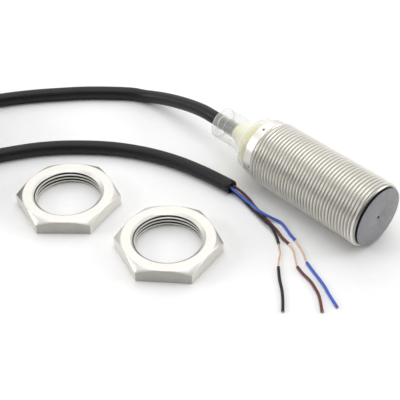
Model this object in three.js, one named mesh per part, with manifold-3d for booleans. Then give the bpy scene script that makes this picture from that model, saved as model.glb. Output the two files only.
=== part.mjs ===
// Cylindrical M18 proximity sensor with a pre-wired cable and two lock nuts.
// Millimetres, +Z up. The origin is the centre of the sensing face, +X points out of that face,
// and the barrel lies on a surface one thread radius below its axis.

import * as THREE from 'three';
import { mergeVertices } from 'three/addons/utils/BufferGeometryUtils.js';
import Module from 'manifold-3d';

// ---------------------------------------------------------------- driving dimensions

const FIT_GAP = 0.3;                 // air between two pieces that touch on the real sensor
const ROUND = 32;                    // facets round the barrel's own pieces
const SMALL_ROUND = 16;              // facets round small pieces
const CABLE_ROUND = 10;              // facets round the loose cable
const WIRE_ROUND = 8;                // facets round a wire
const CUT_MARGIN = 1;                // how far a cutting solid runs past the face that it cuts

const THREAD_DIAMETER = 18;
const THREAD_PITCH = 1;
const THREAD_DEPTH = 0.613;
const THREAD_LENGTH = 35.5;
const THREAD_CHAMFER = 0.7;
const THREAD_PHASE = 0.15;           // share of a turn by which the thread's start is turned

const BAND_LENGTH = 2.8;             // smooth rear end of the barrel, crimped onto the clamp
const BAND_STEP = 0.5;               // from the thread's crest in to the band's surface
const BARREL_WALL = 1.2;             // from the thread's crest in to the bore

const CAP_PROTRUSION = 0.65;         // how far the sensing face stands out of the barrel
const CAP_STEP = 0.8;                // from the thread's crest in to the rim of the sensing face
const CAP_FACE_WALL = 1.2;
const CAP_SIDE_WALL = 0.6;
const CAP_DEPTH = 12;

const CORE_LENGTH = 4.2;             // ferrite pot core behind the face
const CORE_GROOVE_DEPTH = 3;
const CORE_POST_DIAMETER = 5.6;
const CORE_GROOVE_DIAMETER = 10.8;
const BOBBIN_WALL = 0.3;
const CARRIER_LENGTH = 3;            // plastic ring that holds the core and the board

const BOARD_WIDTH = 10;
const BOARD_THICKNESS = 0.8;
const BOARD_LENGTH = 30;
const BOARD_GRIP = 2;                // length of board held in the carrier
const TUNNEL_WIDTH = 6.4;            // room in the resin for what stands on the board
const TUNNEL_TOP = 3.4;
const TUNNEL_BOTTOM = 2.6;

const CLAMP_INSERT = 3.4;            // length of the translucent rear clamp inside the barrel
const FLANGE_STEP = 0.7;             // from the band's surface in to the clamp's rim
const FLANGE_LENGTH = 2.6;
const CLAMP_SHOULDER = 5.3;          // from the flange back to the collar
const CLAMP_WALL = 1.9;
const COLLAR_DIAMETER = 9;
const COLLAR_LENGTH = 8.2;
// Outline of the shoulder: share of its length from the collar, and share of the step up in radius.
const SHOULDER_OUTLINE = [[-0.4, 0], [0, 0.06], [0.3, 0.2], [0.62, 0.42], [0.88, 0.8]];
const COLLAR_LIP = 2.5;              // narrow end of the collar's bore
const SEAL_SECTION = 0.76;
const SEAL_POSITION = 1.6;           // from the clamp's front end to the seal's middle

const CABLE_DIAMETER = 3.8;
const CABLE_INSIDE = 5.5;            // length of sheath held inside the collar
const WIRE_DIAMETER = 0.75;
const WIRE_CIRCLE = 0.56;            // radius on which the three wires lie in the sheath
const LEAD_SPREAD = [1.5, 1.8];      // how far the leads open, at the sheath's end and past it
const LEAD_STRAIGHT = 2;             // straight length of a lead behind the sheath's end
const LEAD_ON_PAD = 2.5;             // length of a lead that lies along the board
const LEAD_BOW = 0.3;                // rise of a lead halfway to the board
const COPPER_DIAMETER = 0.4;

const COIL_DIAMETER = 63;            // outside of the coil
const COIL_TURNS_WIDE = 4;
const COIL_LAST_TURN = 0.5;          // share of a cable's width that the last turn stands out
const COIL_LAYERS = 4;
const COIL_CENTRE = [-123, -75];
const COIL_HEADING = -118.7;         // degrees, the way the cable runs as it reaches the coil
const TIE_WIDTH = 3;
const TIE_THICKNESS = 0.6;

const NUT_SIDES = 6;
const NUT_ACROSS_FLATS = 24;
const NUT_THICKNESS = 4;
const NUT_FACE_MARGIN = 0.05;        // from a flat in to the circle that the upper face is chamfered to
const NUT_CORNER_ANGLE = 30;
const NUT_THREAD_CLEARANCE = 0.1;
const NUT_SINK_MARGIN = 0.5;         // from the thread's crest out to the countersink's edge
const NUT_SINK_DEPTH = 0.65;
const NUT_PLACES = [
  { name: 'lock_nut_1', at: [-65.9, -46.4], turn: -14.4 },
  { name: 'lock_nut_2', at: [-34.7, -39.0], turn: -17.9 },
];

// ---------------------------------------------------------------- places along the axis

const THREAD_RADIUS = THREAD_DIAMETER / 2;
const BAND_RADIUS = THREAD_RADIUS - BAND_STEP;
const BORE_RADIUS = THREAD_RADIUS - BARREL_WALL;
const CLAMP_RADIUS = BORE_RADIUS - FIT_GAP;
const FLOOR = -THREAD_RADIUS;
const BARREL_FRONT = -CAP_PROTRUSION;
const BAND_FRONT = BARREL_FRONT - THREAD_LENGTH;
const BARREL_REAR = BAND_FRONT - BAND_LENGTH;
const CAP_CUP_RADIUS = BORE_RADIUS - FIT_GAP;
const CAP_INNER_RADIUS = CAP_CUP_RADIUS - CAP_SIDE_WALL;
const CORE_RADIUS = CAP_INNER_RADIUS - FIT_GAP;
const CORE_FRONT = -CAP_FACE_WALL - FIT_GAP;
const CORE_REAR = CORE_FRONT - CORE_LENGTH;
const CARRIER_FRONT = CORE_REAR - FIT_GAP;
const CARRIER_REAR = CARRIER_FRONT - CARRIER_LENGTH;
const BOARD_FRONT = CARRIER_REAR + BOARD_GRIP;
const BOARD_REAR = BOARD_FRONT - BOARD_LENGTH;
const CLAMP_FRONT = BARREL_REAR + CLAMP_INSERT;
const CLAMP_SHOULDER_START = BARREL_REAR - FLANGE_LENGTH;
const COLLAR_START = CLAMP_SHOULDER_START - CLAMP_SHOULDER;
const COLLAR_END = COLLAR_START - COLLAR_LENGTH;
const CABLE_INNER_END = COLLAR_END + CABLE_INSIDE;
const RESIN_FRONT = -CAP_DEPTH - FIT_GAP;
const RESIN_REAR = CLAMP_FRONT + FIT_GAP;
const CABLE_LIE = FLOOR + CABLE_DIAMETER / 2;
const WIRE_LIE = FLOOR + WIRE_DIAMETER / 2;
const COIL_LIFT = TIE_THICKNESS + FIT_GAP;

// ---------------------------------------------------------------- solids

const wasm = await Module();
wasm.setup();

const radians = THREE.MathUtils.degToRad;

function solidFrom(geometry) {
  const bare = geometry.clone();
  bare.deleteAttribute('normal');
  bare.deleteAttribute('uv');
  const merged = mergeVertices(bare, 1e-4);
  return new wasm.Manifold(new wasm.Mesh({
    numProp: 3,
    vertProperties: new Float32Array(merged.attributes.position.array),
    triVerts: new Uint32Array(merged.index.array),
  }));
}

function geometryFrom(solid) {
  const mesh = solid.getMesh();
  const geometry = new THREE.BufferGeometry();
  geometry.setAttribute('position', new THREE.BufferAttribute(mesh.vertProperties, 3));
  geometry.setIndex(new THREE.BufferAttribute(mesh.triVerts, 1));
  geometry.computeVertexNormals();
  return geometry;
}

// Turns a profile of [radius, x] points, counter-clockwise, about the X axis.
function revolve(profile, facets = ROUND) {
  const points = profile.map(([radius, x]) => new THREE.Vector2(radius, x));
  return new THREE.LatheGeometry(points, facets).rotateZ(-Math.PI / 2);
}

function revolveRing(profile, facets = ROUND) {
  return revolve([...profile, profile[0]], facets);
}

function rod(radius, rear, front, facets = ROUND) {
  return revolve([[0, rear], [radius, rear], [radius, front], [0, front]], facets);
}

// Stands a geometry made along X up along Z.
function upright(geometry) {
  return geometry.rotateY(-Math.PI / 2);
}

function box(low, high) {
  const size = high.map((value, axis) => value - low[axis]);
  const middle = high.map((value, axis) => (value + low[axis]) / 2);
  return new THREE.BoxGeometry(...size).translate(...middle);
}

function polygonShape(radius, sides) {
  const corners = Array.from({ length: sides }, (_, corner) => {
    const angle = (2 * Math.PI * corner) / sides;
    return new THREE.Vector2(radius * Math.cos(angle), radius * Math.sin(angle));
  });
  return new THREE.Shape(corners);
}

function tube(points, diameter, steps, sides) {
  const path = new THREE.CatmullRomCurve3(points.map((point) => new THREE.Vector3(...point)));
  return new THREE.ExtrudeGeometry(polygonShape(diameter / 2, sides), {
    extrudePath: path,
    steps,
    bevelEnabled: false,
  });
}

// A right-handed screw along X: its surface rises from root to crest and back once a pitch.
function screw(rear, front, rootRadius, crestRadius, facets = ROUND, phase = 0) {
  const rows = 2 * Math.ceil((front - rear) / THREAD_PITCH) + 1;
  const positions = [];
  const columns = [];
  for (let column = 0; column < facets; column += 1) {
    const angle = (2 * Math.PI * column) / facets;
    const count = column === 0 ? rows + 2 : rows;
    columns.push(positions.length / 3);
    for (let row = 0; row < count; row += 1) {
      const radius = row % 2 === 0 ? rootRadius : crestRadius;
      const x = rear + THREAD_PITCH * (column / facets + row / 2 - 1 + phase);
      positions.push(x, radius * Math.cos(angle), radius * Math.sin(angle));
    }
  }
  const at = (column, row) => (column === facets ? columns[0] + row + 2 : columns[column] + row);
  const triangles = [];
  for (let column = 0; column < facets; column += 1) {
    for (let row = 0; row < rows - 1; row += 1) {
      const a = at(column, row);
      const b = at(column + 1, row);
      const c = at(column + 1, row + 1);
      const d = at(column, row + 1);
      triangles.push(a, b, c, a, c, d);
    }
  }
  const hub = (row, side) => {
    const middle = positions.length / 3;
    positions.push(positions[3 * at(0, row)], 0, 0);
    const rim = [];
    for (let column = 0; column <= facets; column += 1) {
      rim.push(at(column, row));
    }
    rim.push(at(0, row + 1), at(0, row));
    for (let step = 0; step < rim.length - 1; step += 1) {
      const [first, second] = side > 0 ? [rim[step], rim[step + 1]] : [rim[step + 1], rim[step]];
      triangles.push(middle, first, second);
    }
  };
  hub(0, -1);
  hub(rows - 1, 1);
  const geometry = new THREE.BufferGeometry();
  geometry.setAttribute('position', new THREE.Float32BufferAttribute(positions, 3));
  geometry.setIndex(triangles);
  return geometry;
}

// ---------------------------------------------------------------- finishes

const finishes = {
  nickel: { color: 0xc9c6bd, metalness: 1, roughness: 0.3 },
  face: { color: 0x77777a, metalness: 0, roughness: 0.6 },
  ferrite: { color: 0x2b2a2c, metalness: 0, roughness: 0.8 },
  carrier: { color: 0xd8d2c4, metalness: 0, roughness: 0.6 },
  winding: { color: 0xb4642d, metalness: 1, roughness: 0.35 },
  board: { color: 0x1e5a36, metalness: 0, roughness: 0.5 },
  chip: { color: 0x1c1c1e, metalness: 0, roughness: 0.5 },
  ceramic: { color: 0x9c8467, metalness: 0, roughness: 0.6 },
  led: { color: 0xf2a632, metalness: 0, roughness: 0.2 },
  resin: { color: 0xd9d2a5, metalness: 0, roughness: 0.4 },
  clamp: { color: 0xe9eae4, metalness: 0, roughness: 0.25 },
  rubber: { color: 0x1a1a1b, metalness: 0, roughness: 0.7 },
  sheath: { color: 0x18191c, metalness: 0, roughness: 0.45 },
  blue: { color: 0x3c5fc4, metalness: 0, roughness: 0.4 },
  brown: { color: 0x7a4634, metalness: 0, roughness: 0.4 },
  black: { color: 0x1e1d20, metalness: 0, roughness: 0.4 },
  copper: { color: 0xd09468, metalness: 1, roughness: 0.3 },
  tie: { color: 0x1d1d1f, metalness: 0, roughness: 0.5 },
};

const materials = Object.fromEntries(
  Object.entries(finishes).map(([name, finish]) => [name, new THREE.MeshStandardMaterial(finish)]),
);

function piece(parent, name, geometry, finish) {
  const mesh = new THREE.Mesh(geometry, materials[finish]);
  mesh.name = name;
  parent.add(mesh);
  return mesh;
}

// ---------------------------------------------------------------- barrel

function barrel() {
  const crest = THREAD_RADIUS;
  const root = crest - THREAD_DEPTH;
  const hidden = BAND_FRONT - FIT_GAP;
  const outline = revolve([
    [0, hidden],
    [root, hidden],
    [root, BAND_FRONT],
    [crest, BAND_FRONT + THREAD_CHAMFER],
    [crest, BARREL_FRONT - THREAD_CHAMFER],
    [root, BARREL_FRONT],
    [0, BARREL_FRONT],
  ]);
  const thread = screw(BARREL_REAR - THREAD_PITCH, 2 * THREAD_PITCH, root, crest, ROUND, THREAD_PHASE);
  const band = rod(BAND_RADIUS, BARREL_REAR, BAND_FRONT);
  const bore = rod(BORE_RADIUS, BARREL_REAR - THREAD_PITCH, THREAD_PITCH);
  const threaded = solidFrom(thread).intersect(solidFrom(outline));
  return geometryFrom(threaded.add(solidFrom(band)).subtract(solidFrom(bore)));
}

// ---------------------------------------------------------------- sensing head

function sensingCap() {
  const rim = THREAD_RADIUS - CAP_STEP;
  const shelf = BARREL_FRONT + FIT_GAP;
  return revolve([
    [0, -CAP_FACE_WALL],
    [CAP_INNER_RADIUS, -CAP_FACE_WALL],
    [CAP_INNER_RADIUS, -CAP_DEPTH],
    [CAP_CUP_RADIUS, -CAP_DEPTH],
    [CAP_CUP_RADIUS, shelf],
    [rim, shelf],
    [rim, 0],
    [0, 0],
  ]);
}

function ferriteCore() {
  const post = CORE_POST_DIAMETER / 2;
  const groove = CORE_GROOVE_DIAMETER / 2;
  const floor = CORE_FRONT - CORE_GROOVE_DEPTH;
  return revolve([
    [0, CORE_REAR],
    [CORE_RADIUS, CORE_REAR],
    [CORE_RADIUS, CORE_FRONT],
    [groove, CORE_FRONT],
    [groove, floor],
    [post, floor],
    [post, CORE_FRONT],
    [0, CORE_FRONT],
  ]);
}

const BOBBIN_INNER = CORE_POST_DIAMETER / 2 + FIT_GAP;
const BOBBIN_OUTER = CORE_GROOVE_DIAMETER / 2 - FIT_GAP;
const BOBBIN_REAR = CORE_FRONT - CORE_GROOVE_DEPTH + FIT_GAP;

function coilBobbin() {
  const hub = BOBBIN_INNER + BOBBIN_WALL;
  return revolveRing([
    [BOBBIN_INNER, BOBBIN_REAR],
    [BOBBIN_OUTER, BOBBIN_REAR],
    [BOBBIN_OUTER, BOBBIN_REAR + BOBBIN_WALL],
    [hub, BOBBIN_REAR + BOBBIN_WALL],
    [hub, CORE_FRONT - BOBBIN_WALL],
    [BOBBIN_OUTER, CORE_FRONT - BOBBIN_WALL],
    [BOBBIN_OUTER, CORE_FRONT],
    [BOBBIN_INNER, CORE_FRONT],
  ]);
}

function sensingCoil() {
  const inner = BOBBIN_INNER + BOBBIN_WALL + FIT_GAP;
  const rear = BOBBIN_REAR + BOBBIN_WALL + FIT_GAP;
  const front = CORE_FRONT - BOBBIN_WALL - FIT_GAP;
  return revolveRing([[inner, rear], [BOBBIN_OUTER, rear], [BOBBIN_OUTER, front], [inner, front]]);
}

function coreCarrier() {
  const half = BOARD_THICKNESS / 2 + FIT_GAP;
  const side = BOARD_WIDTH / 2 + FIT_GAP;
  const body = rod(CORE_RADIUS, CARRIER_REAR, CARRIER_FRONT);
  const slot = box(
    [CARRIER_REAR - CUT_MARGIN, -side, -half],
    [BOARD_FRONT + FIT_GAP, side, half],
  );
  return geometryFrom(solidFrom(body).subtract(solidFrom(slot)));
}

// ---------------------------------------------------------------- circuit board

// Parts on the board: place is [distance behind the board's front end, sideways], side is +1 above
// and -1 below, size is [length, width, height].
const BOARD_PARTS = [
  { name: 'amplifier_chip', place: [9, 0], side: 1, size: [5, 4, 1.5], finish: 'chip' },
  { name: 'output_transistor', place: [15, 0], side: 1, size: [3, 2.6, 1.1], finish: 'chip' },
  { name: 'protection_diode', place: [20, 0], side: 1, size: [4.4, 2.6, 2], finish: 'chip' },
  { name: 'filter_capacitor', place: [9, 0], side: -1, size: [3.2, 1.6, 1.2], finish: 'ceramic' },
  { name: 'supply_capacitor', place: [14, 0], side: -1, size: [3.2, 2.5, 1.6], finish: 'ceramic' },
  { name: 'tuning_resistor', place: [18, 0], side: -1, size: [2, 1.2, 0.6], finish: 'ceramic' },
  { name: 'output_resistor', place: [22, 0], side: -1, size: [2, 1.2, 0.6], finish: 'ceramic' },
  { name: 'indicator_led', place: [28.4, 0], side: -1, size: [1.6, 1.2, 0.8], finish: 'led' },
];

function circuitBoard() {
  const half = BOARD_THICKNESS / 2;
  const side = BOARD_WIDTH / 2;
  return box([BOARD_REAR, -side, -half], [BOARD_FRONT, side, half]);
}

function boardPart({ place: [back, sideways], side, size: [length, width, height] }) {
  const middle = BOARD_THICKNESS / 2 + FIT_GAP + height / 2;
  const part = new THREE.BoxGeometry(length, width, height);
  return part.translate(BOARD_FRONT - back, sideways, side * middle);
}

function pottingResin() {
  const half = BOARD_THICKNESS / 2 + FIT_GAP;
  const side = BOARD_WIDTH / 2 + FIT_GAP;
  const ends = [RESIN_REAR - CUT_MARGIN, RESIN_FRONT + CUT_MARGIN];
  const body = rod(CAP_CUP_RADIUS, RESIN_REAR, RESIN_FRONT);
  const slot = box([ends[0], -side, -half], [ends[1], side, half]);
  const room = TUNNEL_WIDTH / 2;
  const tunnel = box([ends[0], -room, -TUNNEL_BOTTOM], [ends[1], room, TUNNEL_TOP]);
  return geometryFrom(solidFrom(body).subtract(solidFrom(slot)).subtract(solidFrom(tunnel)));
}

// ---------------------------------------------------------------- rear clamp

const SEAL_X = CLAMP_FRONT - SEAL_POSITION;
const SEAL_GROOVE_DEPTH = SEAL_SECTION + FIT_GAP;

function rearClamp() {
  const outer = CLAMP_RADIUS;
  const inner = outer - CLAMP_WALL;
  const flange = BAND_RADIUS - FLANGE_STEP;
  const collar = COLLAR_DIAMETER / 2;
  const lip = CABLE_DIAMETER / 2 + FIT_GAP;
  const bore = lip + FIT_GAP;
  const grooveHalf = SEAL_SECTION / 2 + FIT_GAP;
  const grooveFloor = outer - SEAL_GROOVE_DEPTH;
  const shoulder = SHOULDER_OUTLINE.map(([along, up]) => [
    collar + (flange - collar) * up,
    COLLAR_START + CLAMP_SHOULDER * along,
  ]);
  const shell = revolveRing([
    [lip, COLLAR_END],
    [collar, COLLAR_END],
    ...shoulder,
    [flange, CLAMP_SHOULDER_START],
    [flange, BARREL_REAR - FIT_GAP],
    [outer, BARREL_REAR - FIT_GAP],
    [outer, SEAL_X - grooveHalf],
    [grooveFloor, SEAL_X - grooveHalf],
    [grooveFloor, SEAL_X + grooveHalf],
    [outer, SEAL_X + grooveHalf],
    [outer, CLAMP_FRONT],
    [inner, CLAMP_FRONT],
    [inner, CLAMP_SHOULDER_START],
    [bore, COLLAR_START],
    [bore, COLLAR_END + COLLAR_LIP],
    [lip, COLLAR_END + COLLAR_LIP],
  ]);
  // Room for the board's rear end, which reaches into the clamp.
  const side = BOARD_WIDTH / 2 + FIT_GAP;
  const half = BOARD_THICKNESS / 2 + FIT_GAP;
  const slot = box([BOARD_REAR - FIT_GAP, -side, -half], [CLAMP_FRONT + CUT_MARGIN, side, half]);
  return geometryFrom(solidFrom(shell).subtract(solidFrom(slot)));
}

function clampSeal() {
  const middle = CLAMP_RADIUS - SEAL_SECTION / 2;
  const ring = new THREE.TorusGeometry(middle, SEAL_SECTION / 2, WIRE_ROUND, ROUND);
  return ring.rotateY(Math.PI / 2).translate(SEAL_X, 0, 0);
}

// The three conductors leave the sheath on a small circle and reach the board's rear pads.
const CONDUCTORS = ['blue', 'brown', 'black'];
const LEAD_PADS = [0, -1, 1];        // each conductor's pad, counted sideways from the board's middle

function conductorOffset(index) {
  const angle = radians(90 + 120 * index);
  return [WIRE_CIRCLE * Math.cos(angle), WIRE_CIRCLE * Math.sin(angle)];
}

function innerLead(index) {
  const [y, z] = conductorOffset(index);
  const start = CABLE_INNER_END + FIT_GAP;
  const padY = 2 * LEAD_PADS[index] * (WIRE_DIAMETER + FIT_GAP);
  const padZ = BOARD_THICKNESS / 2 + FIT_GAP + WIRE_DIAMETER / 2;
  const halfway = (BOARD_REAR + start) / 2;
  const [close, open] = LEAD_SPREAD;
  const route = [
    [start, y * close, z * close],
    [start + LEAD_STRAIGHT, y * open, z * open],
    [halfway, padY / 2, (padZ + z) / 2 + LEAD_BOW],
    [BOARD_REAR - FIT_GAP, padY, padZ],
    [BOARD_REAR + LEAD_ON_PAD, padY, padZ],
  ];
  return tube(route, WIRE_DIAMETER, 2 * (route.length - 1), WIRE_ROUND);
}

// ---------------------------------------------------------------- cable

const CABLE_FROM_SENSOR = [
  [COLLAR_END - FIT_GAP, 0, 0],
  [-59, 0.1, -0.1],
  [-63.1, 0.5, -0.6],
  [-68.2, 0.8, -1.7],
  [-73.6, 0.9, -3.1],
  [-78.8, 0.8, -4.6],
  [-83.7, 0.4, -6.1],
  [-87.8, -0.8, -7.02],
  [-91.4, -2.7, CABLE_LIE],
  [-96.8, -7.6, CABLE_LIE],
  [-101.8, -12.9, CABLE_LIE],
  [-106.3, -18.6, CABLE_LIE],
  [-110.6, -24.4, CABLE_LIE],
  [-114.4, -30.4, CABLE_LIE],
  [-117.9, -36.7, CABLE_LIE],
  [-120.1, -39.8, CABLE_LIE],
  [-122, -41.9, CABLE_LIE],
];
const CABLE_TO_WIRES = [
  [-95.2, -56.1, CABLE_LIE],
  [-95, -52.7, CABLE_LIE],
  [-93.9, -49.3, CABLE_LIE],
  [-91.9, -45.2, CABLE_LIE],
  [-89, -40.1, CABLE_LIE],
  [-85.1, -34.7, CABLE_LIE],
  [-80.5, -29.7, CABLE_LIE],
  [-75.5, -25.1, CABLE_LIE],
  [-69.8, -21.1, CABLE_LIE],
  [-63.4, -17.7, CABLE_LIE],
  [-56.5, -15.1, CABLE_LIE],
  [-48.8, -13.3, CABLE_LIE],
  [-42, -12.3, CABLE_LIE],
  [-39, -12, CABLE_LIE],
];

function looseCable(route) {
  return tube(route, CABLE_DIAMETER, 2 * route.length, CABLE_ROUND);
}

const COIL_OUTER = COIL_DIAMETER / 2;
const COIL_INNER = COIL_OUTER - (COIL_TURNS_WIDE + COIL_LAST_TURN) * CABLE_DIAMETER;
const COIL_BASE = FLOOR + COIL_LIFT;
const COIL_TOP = COIL_BASE + COIL_LAYERS * CABLE_DIAMETER;

function cableCoil() {
  const soft = CABLE_DIAMETER / 2;
  const ring = revolveRing([
    [COIL_INNER + soft, COIL_BASE],
    [COIL_OUTER - soft, COIL_BASE],
    [COIL_OUTER, COIL_BASE + soft],
    [COIL_OUTER, COIL_TOP - soft],
    [COIL_OUTER - soft, COIL_TOP],
    [COIL_INNER + soft, COIL_TOP],
    [COIL_INNER, COIL_TOP - soft],
    [COIL_INNER, COIL_BASE + soft],
  ]);
  return upright(ring);
}

// A flat band round the coil's section, along the coil's own X.
function coilTie() {
  const inner = [COIL_INNER - FIT_GAP, COIL_BASE - FIT_GAP];
  const outer = [COIL_OUTER + FIT_GAP, COIL_TOP + FIT_GAP];
  const half = TIE_WIDTH / 2;
  const hoop = box(
    [inner[0] - TIE_THICKNESS, -half, inner[1] - TIE_THICKNESS],
    [outer[0] + TIE_THICKNESS, half, outer[1] + TIE_THICKNESS],
  );
  const hole = box([inner[0], -TIE_WIDTH, inner[1]], [outer[0], TIE_WIDTH, outer[1]]);
  return geometryFrom(solidFrom(hoop).subtract(solidFrom(hole)));
}

// ---------------------------------------------------------------- loose wire ends

// Each wire has its insulation up to where it was cut, a short bare stretch, and the cut piece of
// insulation pushed down to the wire's end. The points are [x, y, height above lying flat].
const WIRES = {
  blue: {
    insulation: [
      [-38.6, -12.5, 1.75], [-35.5, -12.6, 1.45], [-33, -12.8, 1.2], [-30.4, -13, 1.2],
      [-28, -13.3, 1.15], [-25.8, -13.1, 1], [-23.6, -12.3, 0.5], [-21.5, -11.6, 0.05],
      [-19.3, -12.2, 0], [-17, -13.1, 0], [-14.6, -13.8, 0],
    ],
    copper: [[-14.3, -13.95, 0], [-11.8, -15, 0], [-9.5, -16.2, 0], [-7.4, -17.6, 0]],
    slug: [[-7.1, -17.8, 0], [-3.2, -19.2, 0], [0.8, -20.6, 0], [3.9, -22.1, 0], [8, -23.9, 0]],
  },
  brown: {
    insulation: [
      [-38.6, -11.6, 1.9], [-37, -11.1, 1.2], [-35.4, -10.8, 0.5], [-33.5, -10.9, 0.05],
      [-31.5, -11.6, 0], [-27.9, -12.6, 0], [-24.7, -13.4, 0], [-22.2, -14, 0],
      [-19.9, -14.6, 0], [-17.4, -15.5, 0], [-14.8, -16, 0],
    ],
    copper: [[-14.5, -16.1, 0], [-12.4, -16.9, 0], [-10.7, -18.2, 0], [-7.95, -20.4, 0]],
    slug: [
      [-7.7, -20.6, 0], [-5.1, -21.4, 0], [-2.1, -22, 0], [0.3, -23, 0], [2.8, -24.4, 0],
      [6.5, -27.6, 0],
    ],
  },
  black: {
    insulation: [
      [-38.6, -12.2, 0.65], [-35.9, -12.2, 0.3], [-33.4, -12.7, 0.25], [-30.6, -13.4, 0.35],
      [-27.2, -14.1, 0.5], [-24.2, -14.8, 0.65], [-22, -15.1, 0.65], [-20.5, -15.5, 0.4],
      [-19.1, -16.1, 0.1], [-17.8, -16.9, 0], [-16.6, -17.8, 0],
    ],
    copper: [
      [-16.4, -18, 0], [-15.1, -19.2, 0], [-13.9, -20, 0], [-12.7, -21.9, 0], [-11.1, -23.8, 0],
    ],
    slug: [[-10.9, -24, 0], [-7.8, -26.9, 0], [-4.9, -29.2, 0], [-2.3, -31.7, 0], [0, -34.2, 0]],
  },
};

function wireTube(points, diameter) {
  const steps = 2 * (points.length - 1);
  const route = points.map(([x, y, height]) => [x, y, WIRE_LIE + height]);
  return tube(route, diameter, steps, WIRE_ROUND);
}

// ---------------------------------------------------------------- lock nuts

function lockNut() {
  const corner = NUT_ACROSS_FLATS / 2 / Math.cos(Math.PI / NUT_SIDES);
  const blank = new THREE.CylinderGeometry(
    corner, corner, NUT_THICKNESS, NUT_SIDES, 1, false, Math.PI / NUT_SIDES,
  );
  blank.rotateX(Math.PI / 2).translate(0, 0, NUT_THICKNESS / 2);
  const face = NUT_ACROSS_FLATS / 2 - NUT_FACE_MARGIN;
  const reach = corner + CUT_MARGIN;
  const fall = (reach - face) * Math.tan(radians(NUT_CORNER_ANGLE));
  const dressing = upright(revolve([
    [0, 0],
    [reach, 0],
    [reach, NUT_THICKNESS - fall],
    [face, NUT_THICKNESS],
    [0, NUT_THICKNESS],
  ]));
  const crest = THREAD_RADIUS + NUT_THREAD_CLEARANCE;
  const root = crest - THREAD_DEPTH;
  const tap = upright(screw(-2 * THREAD_PITCH, NUT_THICKNESS + THREAD_PITCH, root, crest));
  const sink = THREAD_RADIUS + NUT_SINK_MARGIN;
  const mouth = sink + (CUT_MARGIN * (sink - root)) / NUT_SINK_DEPTH;
  const below = upright(revolve([
    [0, -CUT_MARGIN],
    [mouth, -CUT_MARGIN],
    [root, NUT_SINK_DEPTH],
    [0, NUT_SINK_DEPTH],
  ]));
  const above = upright(revolve([
    [0, NUT_THICKNESS - NUT_SINK_DEPTH],
    [root, NUT_THICKNESS - NUT_SINK_DEPTH],
    [mouth, NUT_THICKNESS + CUT_MARGIN],
    [0, NUT_THICKNESS + CUT_MARGIN],
  ]));
  const solid = solidFrom(blank).intersect(solidFrom(dressing)).subtract(solidFrom(tap));
  return geometryFrom(solid.subtract(solidFrom(below)).subtract(solidFrom(above)));
}

// ---------------------------------------------------------------- assembly

const sensor = new THREE.Group();

const head = new THREE.Group();
piece(head, 'sensing_cap', sensingCap(), 'face');
piece(head, 'ferrite_core', ferriteCore(), 'ferrite');
piece(head, 'coil_bobbin', coilBobbin(), 'carrier');
piece(head, 'sensing_coil', sensingCoil(), 'winding');
piece(head, 'core_carrier', coreCarrier(), 'carrier');

const electronics = new THREE.Group();
piece(electronics, 'circuit_board', circuitBoard(), 'board');
for (const part of BOARD_PARTS) {
  piece(electronics, part.name, boardPart(part), part.finish);
}

const housing = new THREE.Group();
piece(housing, 'threaded_barrel', barrel(), 'nickel');
piece(housing, 'potting_resin', pottingResin(), 'resin');
piece(housing, 'rear_clamp', rearClamp(), 'clamp');
piece(housing, 'clamp_seal', clampSeal(), 'rubber');

const cable = new THREE.Group();
const sheathInside = rod(CABLE_DIAMETER / 2, COLLAR_END, CABLE_INNER_END, SMALL_ROUND);
piece(cable, 'cable_in_clamp', sheathInside, 'sheath');
piece(cable, 'cable_from_sensor', looseCable(CABLE_FROM_SENSOR), 'sheath');
piece(cable, 'cable_to_wires', looseCable(CABLE_TO_WIRES), 'sheath');
CONDUCTORS.forEach((name, index) => {
  piece(cable, `inner_lead_${name}`, innerLead(index), name);
  piece(cable, `wire_${name}`, wireTube(WIRES[name].insulation, WIRE_DIAMETER), name);
  piece(cable, `copper_${name}`, wireTube(WIRES[name].copper, COPPER_DIAMETER), 'copper');
  piece(cable, `wire_end_${name}`, wireTube(WIRES[name].slug, WIRE_DIAMETER), name);
});

const coil = new THREE.Group();
coil.position.set(...COIL_CENTRE, 0);
coil.rotation.z = radians(COIL_HEADING);
piece(coil, 'cable_coil', cableCoil(), 'sheath');
for (const [number, turn] of [[1, 0], [2, Math.PI]]) {
  piece(coil, `coil_tie_${number}`, coilTie(), 'tie').rotation.z = turn;
}
cable.add(coil);

const nuts = new THREE.Group();
for (const { name, at, turn } of NUT_PLACES) {
  const nut = piece(nuts, name, lockNut(), 'nickel');
  nut.position.set(...at, FLOOR);
  nut.rotation.z = radians(turn);
}

sensor.add(head, electronics, housing, cable, nuts);

export default sensor;
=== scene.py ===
"""Looks of a cylindrical M18 proximity sensor, its cable and its lock nuts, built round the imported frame.

The barrel lies along X with its sensing face at the origin, +X out of the face and +Z up.
All lengths are metres.
"""

import math

import bmesh
import bpy
from bpy.props import FloatProperty, FloatVectorProperty, IntProperty, PointerProperty
from mathutils import Matrix, Vector


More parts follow.
